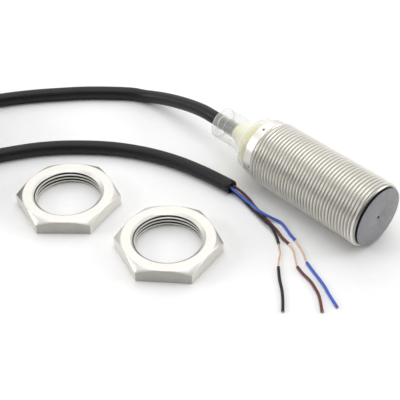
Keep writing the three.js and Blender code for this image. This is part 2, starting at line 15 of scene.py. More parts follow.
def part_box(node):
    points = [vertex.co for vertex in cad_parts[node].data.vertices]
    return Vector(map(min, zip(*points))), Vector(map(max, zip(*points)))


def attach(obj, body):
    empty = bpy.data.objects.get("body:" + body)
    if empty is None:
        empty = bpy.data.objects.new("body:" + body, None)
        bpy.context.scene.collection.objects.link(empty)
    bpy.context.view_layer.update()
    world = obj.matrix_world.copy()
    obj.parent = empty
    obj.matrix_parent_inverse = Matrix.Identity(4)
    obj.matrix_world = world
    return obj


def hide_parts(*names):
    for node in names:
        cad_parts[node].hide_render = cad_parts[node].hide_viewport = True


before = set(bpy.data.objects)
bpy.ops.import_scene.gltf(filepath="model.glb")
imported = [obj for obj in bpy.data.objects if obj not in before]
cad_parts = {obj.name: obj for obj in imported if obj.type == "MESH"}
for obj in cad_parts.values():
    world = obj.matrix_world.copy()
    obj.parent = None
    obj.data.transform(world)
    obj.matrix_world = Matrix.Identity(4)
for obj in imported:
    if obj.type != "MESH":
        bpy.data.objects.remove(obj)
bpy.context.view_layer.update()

bl_info = {
    "name": "Cylindrical proximity sensor",
    "version": (1, 0, 0),
    "blender": (4, 5, 0),
    "location": "View3D > Sidebar > Sensor",
    "description": "Builds a threaded proximity sensor with its cable, wires and lock nuts",
    "category": "Add Mesh",
}

MM = 0.001
TURN = 2 * math.pi
WELD = 1e-6

# ------------------------------------------------------------------ places read from the frame

BARREL_LOW, BARREL_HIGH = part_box("threaded_barrel")
CAP_LOW, CAP_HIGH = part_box("sensing_cap")
CLAMP_LOW, CLAMP_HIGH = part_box("rear_clamp")
SHEATH_LOW, SHEATH_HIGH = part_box("cable_in_clamp")
COIL_LOW, COIL_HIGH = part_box("cable_coil")
NUT_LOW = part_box("lock_nut_1")[0]
WINDING_LOW, WINDING_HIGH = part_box("sensing_coil")

FLOOR = NUT_LOW.z
THREAD_RADIUS = round(BARREL_HIGH.z, 5)
CABLE_DIAMETER = round(SHEATH_HIGH.z - SHEATH_LOW.z, 5)
COLLAR_END = CLAMP_LOW.x
COIL_CENTRE = (COIL_LOW + COIL_HIGH) / 2

# ------------------------------------------------------------------ sizes and colours a user may change


def length(name, description, default):
    """A length property in metres, shown in the scene's units."""
    return FloatProperty(
        name=name, description=description, default=default, min=0.0, precision=5, unit="LENGTH"
    )


def colour(name, description, default):
    """A linear colour property."""
    return FloatVectorProperty(
        name=name, description=description, default=default, min=0.0, max=1.0, subtype="COLOR"
    )


class SensorSizes(bpy.types.PropertyGroup):
    """Sizes of the pieces that the frame doesn't give by itself."""

    thread_pitch: length("Thread pitch", "Advance of the thread in one turn", 1.0 * MM)
    thread_depth: length("Thread depth", "Height of the thread from root to crest", 0.613 * MM)
    thread_length: length("Thread length", "Threaded length of the barrel", 35.5 * MM)
    band_radius: length("Band radius", "Radius of the smooth band at the barrel's rear", 8.5 * MM)
    bore_radius: length("Bore radius", "Inner radius of the barrel", 7.8 * MM)
    collar_radius: length("Collar radius", "Radius of the clamp's narrow collar", 4.5 * MM)
    flange_radius: length("Flange radius", "Radius of the clamp's rim behind the barrel", 7.8 * MM)
    flange_length: length("Flange length", "Length of the clamp's rim behind the barrel", 2.6 * MM)
    shoulder_length: length("Shoulder length", "Length of the clamp's sloping shoulder", 5.3 * MM)
    cable_length: length("Cable length", "Sheathed length of the cable outside the clamp", 2.0)
    wire_diameter: length("Wire diameter", "Diameter over a wire's insulation", 0.75 * MM)
    copper_diameter: length("Conductor diameter", "Diameter of a wire's bare conductor", 0.4 * MM)
    nut_flats: length("Nut across flats", "Width of a lock nut between opposite sides", 24 * MM)
    nut_sink: length("Nut countersink", "Diameter of the countersink in a lock nut's face", 19 * MM)
    nut_sink_depth: length("Countersink depth", "Depth of a lock nut's countersink", 0.65 * MM)
    nut_face: length("Nut face", "Diameter of the flat upper face inside the chamfer", 23.9 * MM)
    facets: IntProperty(name="Facets", description="Facets round a threaded piece", default=192, min=24)


class SensorColours(bpy.types.PropertyGroup):
    """Base colours of the finishes, in linear values."""

    nickel: colour("Nickel", "Plated barrel and nuts", (0.86, 0.84, 0.785))
    face: colour("Sensing face", "Moulded sensing face", (0.31, 0.31, 0.32))
    clamp: colour("Clamp", "Milky translucent clamp", (0.92, 0.93, 0.89))
    resin: colour("Resin", "Casting resin seen in the clamp", (0.84, 0.79, 0.43))
    sheath: colour("Sheath", "Cable sheath", (0.012, 0.0125, 0.015))
    blue: colour("Blue wire", "Insulation of the blue wire", (0.06, 0.13, 0.55))
    brown: colour("Brown wire", "Insulation of the brown wire", (0.15, 0.05, 0.035))
    black: colour("Black wire", "Insulation of the black wire", (0.012, 0.011, 0.012))
    copper: colour("Copper", "Bare conductors", (0.9, 0.62, 0.46))
    floor: colour("Floor", "Floor that the object lies on", (0.92, 0.92, 0.92))


# ------------------------------------------------------------------ shader nodes


class Nodes:
    """Adds nodes to a tree and links them, one call each."""

    def __init__(self, tree):
        self.tree = tree

    def put(self, kind, inputs=None, **settings):
        """Adds a node. A socket in inputs is linked, and any other value is set."""
        node = self.tree.nodes.new(kind)
        for name, value in settings.items():
            setattr(node, name, value)
        for key, value in (inputs or {}).items():
            self.feed(node.inputs[key], value)
        return node

    def feed(self, socket, value):
        """Links or sets one input."""
        if isinstance(value, bpy.types.NodeSocket):
            self.tree.links.new(value, socket)
        else:
            socket.default_value = value

    def math(self, operation, first, second=0.0, third=0.0):
        """One value worked out from up to three others."""
        values = {0: first, 1: second, 2: third}
        return self.put("ShaderNodeMath", values, operation=operation).outputs[0]

    def vector(self, operation, first, second, outlet=0):
        """One vector worked out from two others."""
        values = {0: first, 1: second}
        return self.put("ShaderNodeVectorMath", values, operation=operation).outputs[outlet]

    def scaled(self, vector, factor):
        """A vector times a value."""
        values = {0: vector, "Scale": factor}
        return self.put("ShaderNodeVectorMath", values, operation="SCALE").outputs[0]

    def spread(self, value, low, high, first=0.0, last=1.0, **settings):
        """A value moved from one range to another."""
        values = {"Value": value, "From Min": low, "From Max": high, "To Min": first, "To Max": last}
        return self.put("ShaderNodeMapRange", values, **settings).outputs["Result"]

    def mixed(self, share, first, second):
        """A colour between two others."""
        values = {0: share, 6: first, 7: second}
        return self.put("ShaderNodeMix", values, data_type="RGBA").outputs[2]

    def noise(self, scale, detail):
        """Noise on the piece's own coordinates."""
        place = self.put("ShaderNodeTexCoord").outputs["Object"]
        values = {"Vector": place, "Scale": scale, "Detail": detail}
        return self.put("ShaderNodeTexNoise", values).outputs["Fac"]

    def about_x(self, geometry, along, radius, angle):
        """Geometry with its points placed by radius and angle about the X axis."""
        across = [self.math("MULTIPLY", radius, self.math(wave, angle)) for wave in ("COSINE", "SINE")]
        values = {"X": along, "Y": across[0], "Z": across[1]}
        place = self.put("ShaderNodeCombineXYZ", values).outputs[0]
        values = {"Geometry": geometry, "Position": place}
        return self.put("GeometryNodeSetPosition", values).outputs["Geometry"]


SOCKETS = {
    float: "NodeSocketFloat", int: "NodeSocketInt", bool: "NodeSocketBool", tuple: "NodeSocketColor",
    type(None): "NodeSocketMaterial",
}


def add_inputs(tree, inputs):
    """Adds a tree's inputs, each of the kind of its default. None stands for a material."""
    for label, default in inputs.items():
        socket = tree.interface.new_socket(label, in_out="INPUT", socket_type=SOCKETS[type(default)])
        if default is not None:
            socket.default_value = default


def shader_group(name, inputs, outputs):
    """An empty shader group: inputs give their defaults, and outputs their kinds."""
    tree = bpy.data.node_groups.new(name, "ShaderNodeTree")
    add_inputs(tree, inputs)
    for label, kind in outputs.items():
        tree.interface.new_socket(label, in_out="OUTPUT", socket_type=SOCKETS[kind])
    nodes = Nodes(tree)
    return tree, nodes, nodes.put("NodeGroupInput").outputs, nodes.put("NodeGroupOutput").inputs


def surface_grain_group():
    """Fine grain: a roughness that varies between two values, and a height for a bump."""
    inputs = {"Scale": 4000.0, "Smooth": 0.3, "Rough": 0.5}
    outputs = {"Roughness": float, "Height": float}
    tree, nodes, given, result = shader_group("surface_grain", inputs, outputs)
    grain = nodes.noise(given["Scale"], 4.0)
    cloud = nodes.noise(nodes.math("MULTIPLY", given["Scale"], 0.06), 3.0)
    blend = nodes.math("MULTIPLY_ADD", cloud, 0.6, nodes.math("MULTIPLY", grain, 0.4))
    nodes.feed(result["Roughness"], nodes.spread(blend, 0.3, 0.7, given["Smooth"], given["Rough"]))
    nodes.feed(result["Height"], grain)
    return tree


def tint_spots_group():
    """A colour that drifts between two tints in soft patches."""
    inputs = {"Scale": 300.0, "Tint": (0.5, 0.5, 0.5, 1.0), "Other Tint": (0.4, 0.4, 0.4, 1.0)}
    tree, nodes, given, result = shader_group("tint_spots", inputs, {"Color": tuple})
    share = nodes.spread(nodes.noise(given["Scale"], 5.0), 0.35, 0.65)
    nodes.feed(result["Color"], nodes.mixed(share, given["Tint"], given["Other Tint"]))
    return tree


def shared_group(name):
    """A shader group by name, built the first time that it is asked for."""
    builders = {"surface_grain": surface_grain_group, "tint_spots": tint_spots_group}
    return bpy.data.node_groups.get(name) or builders[name]()


def shade(share, tint):
    """A tint made lighter or darker."""
    return tuple(min(1.0, max(0.0, channel * share)) for channel in tint)


def finish(name, tint, smooth, rough, grain=3000.0, bump=0.0, patches=400.0, drift=0.9, **shader):
    """A material with drifting tint, varying roughness and fine bump; shader sets plain sockets."""
    material = bpy.data.materials.get(name)
    if material:
        return material
    material = bpy.data.materials.new(name)
    material.use_nodes = True
    nodes = Nodes(material.node_tree)
    surface = material.node_tree.nodes["Principled BSDF"].inputs
    values = {"Scale": grain, "Smooth": smooth, "Rough": rough}
    grains = nodes.put("ShaderNodeGroup", node_tree=shared_group("surface_grain"), inputs=values).outputs
    nodes.feed(surface["Roughness"], grains["Roughness"])
    values = {"Scale": patches, "Tint": (*tint, 1.0), "Other Tint": (*shade(drift, tint), 1.0)}
    spots = nodes.put("ShaderNodeGroup", node_tree=shared_group("tint_spots"), inputs=values).outputs
    nodes.feed(surface["Base Color"], spots["Color"])
    if bump:
        values = {"Strength": 1.0, "Distance": bump, "Height": grains["Height"]}
        nodes.feed(surface["Normal"], nodes.put("ShaderNodeBump", values).outputs["Normal"])
    for socket, value in shader.items():
        surface[socket.replace("_", " ").title().replace("Ior", "IOR")].default_value = value
    return material


# ------------------------------------------------------------------ mesh helpers


def link(thing):
    """Puts a new object into the scene."""
    bpy.context.scene.collection.objects.link(thing)
    return thing


def soften(mesh, angle=35):
    """Smooth shading, with sharp edges where faces meet at more than an angle in degrees."""
    mesh.shade_smooth()
    mesh.set_sharp_from_angle(angle=math.radians(angle))


def mesh_object(name, points, faces, material, angle=35):
    """A new object from points and faces."""
    mesh = bpy.data.meshes.new(name)
    mesh.from_pydata([tuple(point) for point in points], [], faces)
    mesh.update()
    soften(mesh, angle)
    made = link(bpy.data.objects.new(name, mesh))
    mesh.materials.append(material)
    return made


def seat(piece, body, slot, *nodes):
    """Lets a finished piece ride on a body, in place of CAD nodes."""
    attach(piece, body)
    if nodes:
        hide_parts(*nodes)
    return piece


def outward_faces(piece, points=(), faces=(), gap=WELD):
    """Adds points and faces to a closed piece, welds what meets, and turns all faces outward."""
    work = bmesh.new()
    work.from_mesh(piece.data)
    added = [work.verts.new(point) for point in points]
    for face in faces:
        work.faces.new([added[index] for index in face])
    bmesh.ops.remove_doubles(work, verts=work.verts, dist=gap)
    bmesh.ops.recalc_face_normals(work, faces=work.faces)
    work.to_mesh(piece.data)
    work.free()


def paint(piece, material, wanted):
    """Gives the faces that are wanted a further material."""
    piece.data.materials.append(material)
    last = len(piece.data.materials) - 1
    for polygon in piece.data.polygons:
        if wanted(polygon):
            polygon.material_index = last


def ring_faces(rings, sides, closed=False):
    """Faces between each ring of points and the next; closed joins the last ring to the first."""
    faces = []
    for ring in range(rings if closed else rings - 1):
        low, high = ring * sides, (ring + 1) % rings * sides
        for step in range(sides):
            after = (step + 1) % sides
            faces.append((low + step, low + after, high + after, high + step))
    return faces


def turned_piece(name, profile, facets, material, angle=40, closed=False):
    """A closed piece made by turning a [radius, x] profile about the X axis."""
    made = mesh_object(name, *revolved(profile, facets, closed), material, angle)
    outward_faces(made)
    soften(made.data, angle)
    return made


def revolved(profile, facets=96, closed=False):
    """Points and faces of a [radius, x] profile turned about the X axis."""
    points, rings = [], []
    for radius, along in profile:
        if radius < WELD:
            rings.append([len(points)] * facets)
            points.append((along, 0.0, 0.0))
            continue
        rings.append(list(range(len(points), len(points) + facets)))
        for step in range(facets):
            angle = TURN * step / facets
            points.append((along, radius * math.cos(angle), radius * math.sin(angle)))
    faces = []
    pairs = list(zip(rings, rings[1:] + rings[:1] if closed else rings[1:]))
    for first, second in pairs:
        for step in range(facets):
            after = (step + 1) % facets
            corners = [first[step], first[after], second[after], second[step]]
            face = [c for i, c in enumerate(corners) if c != corners[i - 1]]
            if len(face) > 2:
                faces.append(face)
    return points, faces


def rounded(profile, radius, steps=4, closed=False):
    """The profile with each inner corner replaced by an arc-like curve."""
    count = len(profile)
    result = []
    for index, point in enumerate(profile):
        if not closed and index in (0, count - 1):
            result.append(point)
            continue
        here = Vector(point)
        before = Vector(profile[index - 1]) - here
        after = Vector(profile[(index + 1) % count]) - here
        reach = min(radius, before.length * 0.45, after.length * 0.45)
        start = here + before.normalized() * reach
        end = here + after.normalized() * reach
        for step in range(steps + 1):
            share = step / steps
            bend = start.lerp(here, share).lerp(here.lerp(end, share), share)
            result.append(tuple(bend))
    return result


def smooth_line(points, spacing):
    """A curve through points, as a list of points about one spacing apart."""
    knots = [Vector(point) for point in points]
    knots = [2 * knots[0] - knots[1], *knots, 2 * knots[-1] - knots[-2]]
    fine = []
    for index in range(1, len(knots) - 2):
        a, b, c, d = knots[index - 1 : index + 3]
        steps = max(2, round((c - b).length / spacing * 4))
        for step in range(steps):
            t = step / steps
            bend = 2 * b + (c - a) * t + (2 * a - 5 * b + 4 * c - d) * t**2
            fine.append((bend + (3 * b - a - 3 * c + d) * t**3) / 2)
    fine.append(knots[-2])
    return spaced(fine, spacing)


def line_length(line):
    """The length along a list of points."""
    return sum((b - a).length for a, b in zip(line, line[1:]))


def spaced(line, spacing):
    """The same line with its points evenly apart."""
    total = line_length(line)
    count = max(2, round(total / spacing))
    result, travelled, index = [line[0].copy()], 0.0, 0
    for step in range(1, count):
        goal = total * step / count
        while travelled + (line[index + 1] - line[index]).length < goal:
            travelled += (line[index + 1] - line[index]).length
            index += 1
        part = (line[index + 1] - line[index]).length
        result.append(line[index].lerp(line[index + 1], (goal - travelled) / part))
    result.append(line[-1].copy())
    return result


def sweep(name, line, radius, material, sides=16, mouth=None):
    """A closed tube along a line. mouth lists (distance past the end, radius) rings of both its ends."""
    mouth = mouth or [(-0.24 * radius, radius), (0.0, radius * 0.86)]
    tangents = [(b - a).normalized() for a, b in zip(line, line[1:])]
    middles = [(a + b).normalized() for a, b in zip(tangents, tangents[1:])]
    tangents = [tangents[0], *middles, tangents[-1]]
    rings = [(line[0] - tangents[0] * past, tangents[0], size) for past, size in reversed(mouth)]
    rings += [(point, tangent, radius) for point, tangent in zip(line[1:-1], tangents[1:-1])]
    rings += [(line[-1] + tangents[-1] * past, tangents[-1], size) for past, size in mouth]
    side = tangents[0].orthogonal().normalized()
    points, along = [], []
    travelled = 0.0
    for index, (centre, tangent, size) in enumerate(rings):
        side = (side - tangent * side.dot(tangent)).normalized()
        other = tangent.cross(side)
        travelled += (centre - rings[index - 1][0]).length if index else 0.0
        for step in range(sides):
            angle = TURN * step / sides
            points.append(centre + (side * math.cos(angle) + other * math.sin(angle)) * size)
            along.append(travelled)
    faces = [*ring_faces(len(rings), sides), tuple(reversed(range(sides)))]
    last = (len(rings) - 1) * sides
    faces.append(tuple(last + step for step in range(sides)))
    made = mesh_object(name, points, faces, material, angle=50)
    measure = made.data.attributes.new("along", "FLOAT", "POINT")
    measure.data.foreach_set("value", along)
    return made


# ------------------------------------------------------------------ geometry node trees


def geometry_tree(name, inputs):
    """A geometry tree whose inputs are given with their defaults."""
    tree = bpy.data.node_groups.new(name, "GeometryNodeTree")
    tree.interface.new_socket("Geometry", in_out="INPUT", socket_type="NodeSocketGeometry")
    add_inputs(tree, inputs)
    tree.interface.new_socket("Geometry", in_out="OUTPUT", socket_type="NodeSocketGeometry")
    nodes = Nodes(tree)
    return tree, nodes, nodes.put("NodeGroupInput").outputs


def end_tree(nodes, geometry, material):
    """Closes a geometry tree with realized, painted geometry."""
    real = nodes.put("GeometryNodeRealizeInstances", {"Geometry": geometry}).outputs["Geometry"]
    painted = nodes.put("GeometryNodeSetMaterial", {"Geometry": real, "Material": material})
    nodes.put("NodeGroupOutput", {"Geometry": painted.outputs["Geometry"]})


def end_with_tube(nodes, line, radius, sides, material):
    """Closes a geometry tree with a capped tube along a line."""
    section = nodes.put("GeometryNodeCurvePrimitiveCircle", {"Resolution": sides, "Radius": radius})
    values = {"Curve": line, "Profile Curve": section.outputs["Curve"], "Fill Caps": True}
    end_tree(nodes, nodes.put("GeometryNodeCurveToMesh", values).outputs["Mesh"], material)


def thread_tree():
    """A helical thread along X: rows of points climb one pitch a turn, and their ends are welded."""
    inputs = {
        "Start": 0.0, "Length": 0.01, "Pitch": 0.001, "Crest Radius": 0.009, "Root Radius": 0.0084,
        "End Radius": 0.0084, "End Slope": 1.0, "Phase": 0.0, "Internal": False, "Segments": 192,
        "Rows Per Pitch": 8, "Material": None,
    }
    tree, nodes, given = geometry_tree("helical_thread", inputs)
    turns = nodes.math("ADD", nodes.math("DIVIDE", given["Length"], given["Pitch"]), 4.0)
    rows = nodes.math("MULTIPLY", nodes.math("CEIL", turns), given["Rows Per Pitch"])
    across, up = nodes.math("ADD", given["Segments"], 1.0), nodes.math("ADD", rows, 1.0)
    values = {"Size X": 1.0, "Size Y": 1.0, "Vertices X": across, "Vertices Y": up}
    grid = nodes.put("GeometryNodeMeshGrid", values)
    place = nodes.put("GeometryNodeInputPosition").outputs[0]
    place = nodes.put("ShaderNodeSeparateXYZ", {"Vector": place}).outputs
    turn = nodes.math("ADD", place["X"], 0.5)
    row = nodes.math("ROUND", nodes.math("MULTIPLY", nodes.math("ADD", place["Y"], 0.5), rows))
    pitches = nodes.math("DIVIDE", row, given["Rows Per Pitch"])
    lead = nodes.math("SUBTRACT", given["Phase"], 2.0)
    along = nodes.math("MULTIPLY", nodes.math("ADD", nodes.math("ADD", pitches, turn), lead), given["Pitch"])
    along = nodes.math("MINIMUM", nodes.math("MAXIMUM", along, 0.0), given["Length"])
    share = nodes.math("ABSOLUTE", nodes.math("SUBTRACT", nodes.math("FRACT", pitches), 0.5))
    profile = nodes.spread(share, 0.07, 0.44, interpolation_type="SMOOTHSTEP")
    depth = nodes.math("SUBTRACT", given["Crest Radius"], given["Root Radius"])
    radius = nodes.math("MULTIPLY_ADD", profile, depth, given["Root Radius"])
    from_end = nodes.math("MINIMUM", along, nodes.math("SUBTRACT", given["Length"], along))
    limit = nodes.math("MULTIPLY_ADD", from_end, given["End Slope"], given["End Radius"])
    outside, inside = nodes.math("MINIMUM", radius, limit), nodes.math("MAXIMUM", radius, limit)
    values = {"Switch": given["Internal"], "False": outside, "True": inside}
    chosen = nodes.put("GeometryNodeSwitch", values, input_type="FLOAT").outputs["Output"]
    place = nodes.math("ADD", given["Start"], along)
    shaped = nodes.about_x(grid.outputs["Mesh"], place, chosen, nodes.math("MULTIPLY", turn, TURN))
    welded = nodes.put("GeometryNodeMergeByDistance", {"Geometry": shaped, "Distance": WELD})
    end_tree(nodes, welded.outputs["Geometry"], given["Material"])
    return tree


def strand_tree():
    """Strands twisted about a curve."""
    inputs = {
        "Strands": 7, "Bundle Radius": 0.0002, "Strand Radius": 0.00008, "Lay Length": 0.006,
        "Material": None,
    }
    tree, nodes, given = geometry_tree("twisted_strands", inputs)
    fine = nodes.put("GeometryNodeResampleCurve", {"Curve": given["Geometry"], "Count": 36})
    values = {"Geometry": fine.outputs["Curve"], "Amount": given["Strands"]}
    copies = nodes.put("GeometryNodeDuplicateElements", values, domain="SPLINE")
    step = nodes.math("DIVIDE", TURN, given["Strands"])
    start = nodes.math("MULTIPLY", copies.outputs["Duplicate Index"], step)
    run = nodes.put("GeometryNodeSplineParameter").outputs["Length"]
    turned = nodes.math("MULTIPLY", nodes.math("DIVIDE", run, given["Lay Length"]), TURN)
    angle = nodes.math("ADD", start, turned)
    side = nodes.put("GeometryNodeInputNormal").outputs["Normal"]
    tangent = nodes.put("GeometryNodeInputTangent").outputs["Tangent"]
    other = nodes.vector("CROSS_PRODUCT", tangent, side)
    across = nodes.math("MULTIPLY", nodes.math("COSINE", angle), given["Bundle Radius"])
    upward = nodes.math("MULTIPLY", nodes.math("SINE", angle), given["Bundle Radius"])
    offset = nodes.vector("ADD", nodes.scaled(side, across), nodes.scaled(other, upward))
    values = {"Geometry": copies.outputs["Geometry"], "Offset": offset}
    moved = nodes.put("GeometryNodeSetPosition", values).outputs["Geometry"]
    end_with_tube(nodes, moved, given["Strand Radius"], 8, given["Material"])
    return tree


def winding_tree():
    """One wire wound to and fro on a bobbin along X, layer on layer."""
    inputs = {
        "Start": 0.0, "Width": 0.002, "Inner Radius": 0.003, "Outer Radius": 0.005,
        "Wire Diameter": 0.0002, "Material": None,
    }
    tree, nodes, given = geometry_tree("wire_winding", inputs)
    depth = nodes.math("SUBTRACT", given["Outer Radius"], given["Inner Radius"])
    layers = nodes.math("FLOOR", nodes.math("DIVIDE", depth, given["Wire Diameter"]))
    across = nodes.math("SUBTRACT", given["Width"], given["Wire Diameter"])
    turns = nodes.math("FLOOR", nodes.math("DIVIDE", across, given["Wire Diameter"]))
    total = nodes.math("MULTIPLY", layers, turns)
    line = nodes.put("GeometryNodeCurvePrimitiveLine").outputs["Curve"]
    values = {"Curve": line, "Count": nodes.math("MULTIPLY", total, 20.0)}
    fine = nodes.put("GeometryNodeResampleCurve", values).outputs["Curve"]
    share = nodes.put("GeometryNodeSplineParameter").outputs["Factor"]
    angle = nodes.math("MULTIPLY", nodes.math("MULTIPLY", share, total), TURN)
    level = nodes.math("MULTIPLY", share, layers)
    traverse = nodes.math("PINGPONG", level, 1.0)
    half = nodes.math("MULTIPLY", given["Wire Diameter"], 0.5)
    along = nodes.math("MULTIPLY_ADD", traverse, across, nodes.math("ADD", given["Start"], half))
    level = nodes.math("MINIMUM", level, nodes.math("SUBTRACT", layers, 0.5))
    inner = nodes.math("ADD", given["Inner Radius"], half)
    step = nodes.math("DIVIDE", nodes.math("SUBTRACT", depth, given["Wire Diameter"]), layers)
    radius = nodes.math("MULTIPLY_ADD", level, step, inner)
    end_with_tube(nodes, nodes.about_x(fine, along, radius, angle), half, 6, given["Material"])
    return tree


def shared_tree(name):
    """A geometry tree by name, built the first time that it is asked for."""
    builders = {
        "helical_thread": thread_tree,
        "twisted_strands": strand_tree,
        "wire_winding": winding_tree,
    }
    return bpy.data.node_groups.get(name) or builders[name]()


def grown(name, tree_name, values, source=None):
    """A plain mesh object grown by a geometry tree, with its inputs set by identifier."""
    data = source or bpy.data.meshes.new(name + "_seed")
    seed = link(bpy.data.objects.new(name + "_seed", data))
    modifier = seed.modifiers.new("grow", "NODES")
    tree = shared_tree(tree_name)
    modifier.node_group = tree
    for item in tree.interface.items_tree:
        if item.in_out == "INPUT" and item.name in values:
            modifier[item.identifier] = values[item.name]
    bpy.context.view_layer.update()
    evaluated = seed.evaluated_get(bpy.context.evaluated_depsgraph_get())
    mesh = bpy.data.meshes.new_from_object(evaluated)
    mesh.name = name
    mesh.materials.clear()
    mesh.materials.append(values["Material"])
    mesh.polygons.foreach_set("material_index", [0] * len(mesh.polygons))
    bpy.data.objects.remove(seed)
    return link(bpy.data.objects.new(name, mesh))


# ------------------------------------------------------------------ stage

CAMERA_LENS = 86.57
CAMERA_PLACE = Vector((98.40, -154.75, 158.65)) * MM
CAMERA_AIM = Vector((-42.87, -20.27, -9.0)) * MM
BRIGHT_SIDE = (-0.434, 0.414, 0.8)
WORLD_DARK, WORLD_BRIGHT = 0.14, 0.7
BACKDROP = 0.95
FLOOR_REACH = 1.5
# name, place, width and height, power in watts; every light is aimed at the object
LIGHTS = (
    ("rear_softbox", (-0.54, 0.5, 0.62), (1.2, 0.8), 2.0),
    ("top_softbox", (-0.05, 0.0, 1.1), (0.9, 0.9), 4.0),
    ("left_softbox", (-0.62, -0.62, 0.38), (0.5, 0.3), 2.6),
    ("right_softbox", (0.5, 0.66, 0.38), (0.5, 0.3), 2.4),
)

# Turn of the thread's start; the punch marks in the band as (place along X, angle in degrees from +Y
# towards +Z), their width and depth; the band's rounded edge and rows; and the gap that is welded.
THREAD_PHASE = 0.123
CRIMPS = ((-37.5, 106.0), (-36.7, 184.0), (-37.2, 266.0), (-37.2, 12.0))
CRIMP_WIDTH = 0.9 * MM
CRIMP_DEPTH = 0.5 * MM
BAND_EDGE, BAND_ROWS = 0.25 * MM, 16
THREAD_WELD = 3 * WELD

# Sensing face: air round what it touches, walls, and the dimple in its middle.
FIT_GAP = 0.3 * MM
CAP_SIDE_WALL, CAP_FACE_WALL = 0.6 * MM, 1.2 * MM
DIMPLE_RADIUS, DIMPLE_DEPTH = 0.42 * MM, 0.7 * MM
WIRE_OF_COIL, COIL_INNER = 0.2 * MM, 3.4 * MM

# Clamp: radius of its insert, its wall there and round the resin, and its rounding.
CLAMP_LOW_RADIUS = 7.5 * MM
CLAMP_WALL, CLAMP_THIN_WALL, CLAMP_SOFT = 1.9 * MM, 1.0 * MM, 0.45 * MM
CLAMP_LIP, CLAMP_LIP_SLACK = 2.5 * MM, 0.03 * MM
SEAL_PLACE, SEAL_GROOVE, SEAL_SECTION = 1.6 * MM, 0.5 * MM, 0.38 * MM
# Nuts: number and the direction of a corner in degrees; slope of the corners' chamfer; soft edges.
NUT_TURNS = ((1, -14.4), (2, -17.9))
NUT_SLOPE = math.tan(math.radians(30))
NUT_SOFT = 0.12 * MM
# Outline of the clamp's shoulder: share of its length from the collar, share of the step up in radius.
SHOULDER_OUTLINE = ((-0.4, 0), (0, 0.06), (0.3, 0.2), (0.62, 0.42), (0.88, 0.8))


# ------------------------------------------------------------------ routes, in millimetres

CABLE_FROM_SENSOR = [
    (-59, 0.1, -0.1), (-63.1, 0.5, -0.6), (-68.2, 0.8, -1.7), (-73.6, 0.9, -3.1),
    (-78.8, 0.8, -4.6), (-83.7, 0.4, -6.1), (-87.8, -0.8, -7.02), (-91.4, -2.7, -7.1),
    (-96.8, -7.6, -7.1), (-101.8, -12.9, -7.1), (-106.3, -18.6, -7.1), (-110.6, -24.4, -7.1),
    (-114.4, -30.4, -7.1), (-117.9, -36.7, -7.1), (-120.1, -39.8, -7.1), (-122, -41.9, -7.1),
]
CABLE_TO_WIRES = [
    (-95.2, -56.1, -7.1), (-95, -52.7, -7.1), (-93.9, -49.3, -7.1), (-91.9, -45.2, -7.1),
    (-89, -40.1, -7.1), (-85.1, -34.7, -7.1), (-80.5, -29.7, -7.1), (-75.5, -25.1, -7.1),
    (-69.8, -21.1, -7.1), (-63.4, -17.7, -7.1), (-56.5, -15.1, -7.1), (-48.8, -13.3, -7.1),
    (-42, -12.3, -7.1), (-39, -12, -7.1),
]
# Height of a wire's middle where it lies on the floor, depth of the open bore and its slack round the
# conductor, and length of a wire inside the sheath.
WIRE_LIE = -8.625
BORE_SEEN = 1.2 * MM
BORE_SLACK = 0.04 * MM
WIRE_HIDDEN = 1.2 * MM
WIRES = {
    "blue": {
        "insulation": [
            (-38.6, -12.5, 1.75), (-35.5, -12.6, 1.45), (-33, -12.8, 1.2), (-30.4, -13, 1.2),
            (-28, -13.3, 1.15), (-25.8, -13.1, 1), (-23.6, -12.3, 0.5), (-21.5, -11.6, 0.05),
            (-19.3, -12.2, 0), (-17, -13.1, 0), (-14.6, -13.8, 0),
        ],
        "copper": [(-11.8, -15, 0), (-9.5, -16.2, 0)],
        "end": [(-7.1, -17.8, 0), (-3.2, -19.2, 0), (0.8, -20.6, 0), (3.9, -22.1, 0), (8, -23.9, 0)],
    },
    "brown": {
        "insulation": [
            (-38.6, -11.6, 1.9), (-37, -11.1, 1.2), (-35.4, -10.8, 0.5), (-33.5, -10.9, 0.05),
            (-31.5, -11.6, 0), (-27.9, -12.6, 0), (-24.7, -13.4, 0), (-22.2, -14, 0),
            (-19.9, -14.6, 0), (-17.4, -15.5, 0), (-14.8, -16, 0),
        ],
        "copper": [(-12.4, -16.9, 0), (-10.7, -18.2, 0)],
        "end": [
            (-7.7, -20.6, 0), (-5.1, -21.4, 0), (-2.1, -22, 0), (0.3, -23, 0), (2.8, -24.4, 0),
            (6.5, -27.6, 0),
        ],
    },
    "black": {
        "insulation": [
            (-38.6, -12.2, 0.65), (-35.9, -12.2, 0.3), (-33.4, -12.7, 0.25), (-30.6, -13.4, 0.35),
            (-27.2, -14.1, 0.5), (-24.2, -14.8, 0.65), (-22, -15.1, 0.65), (-20.5, -15.5, 0.4),
            (-19.1, -16.1, 0.1), (-17.8, -16.9, 0), (-16.6, -17.8, 0),
        ],
        "copper": [(-15.1, -19.2, 0), (-13.9, -20, 0), (-12.7, -21.9, 0)],
        "end": [(-10.9, -24, 0), (-7.8, -26.9, 0), (-4.9, -29.2, 0), (-2.3, -31.7, 0), (0, -34.2, 0)],
    },
}


def metres(points):
    """Vectors in metres from points in millimetres."""
    return [Vector(point) * MM for point in points]


def smoothstep(share):
    """An even rise from 0 to 1."""
    share = min(1.0, max(0.0, share))
    return share * share * (3 - 2 * share)


# Rings of the sheath's open ends: distance past the end and radius, as shares of the cable's radius.
SHEATH_MOUTH = ((-0.1, 1), (0, 0.92), (0, 0.74), (-1.2, 0.7))

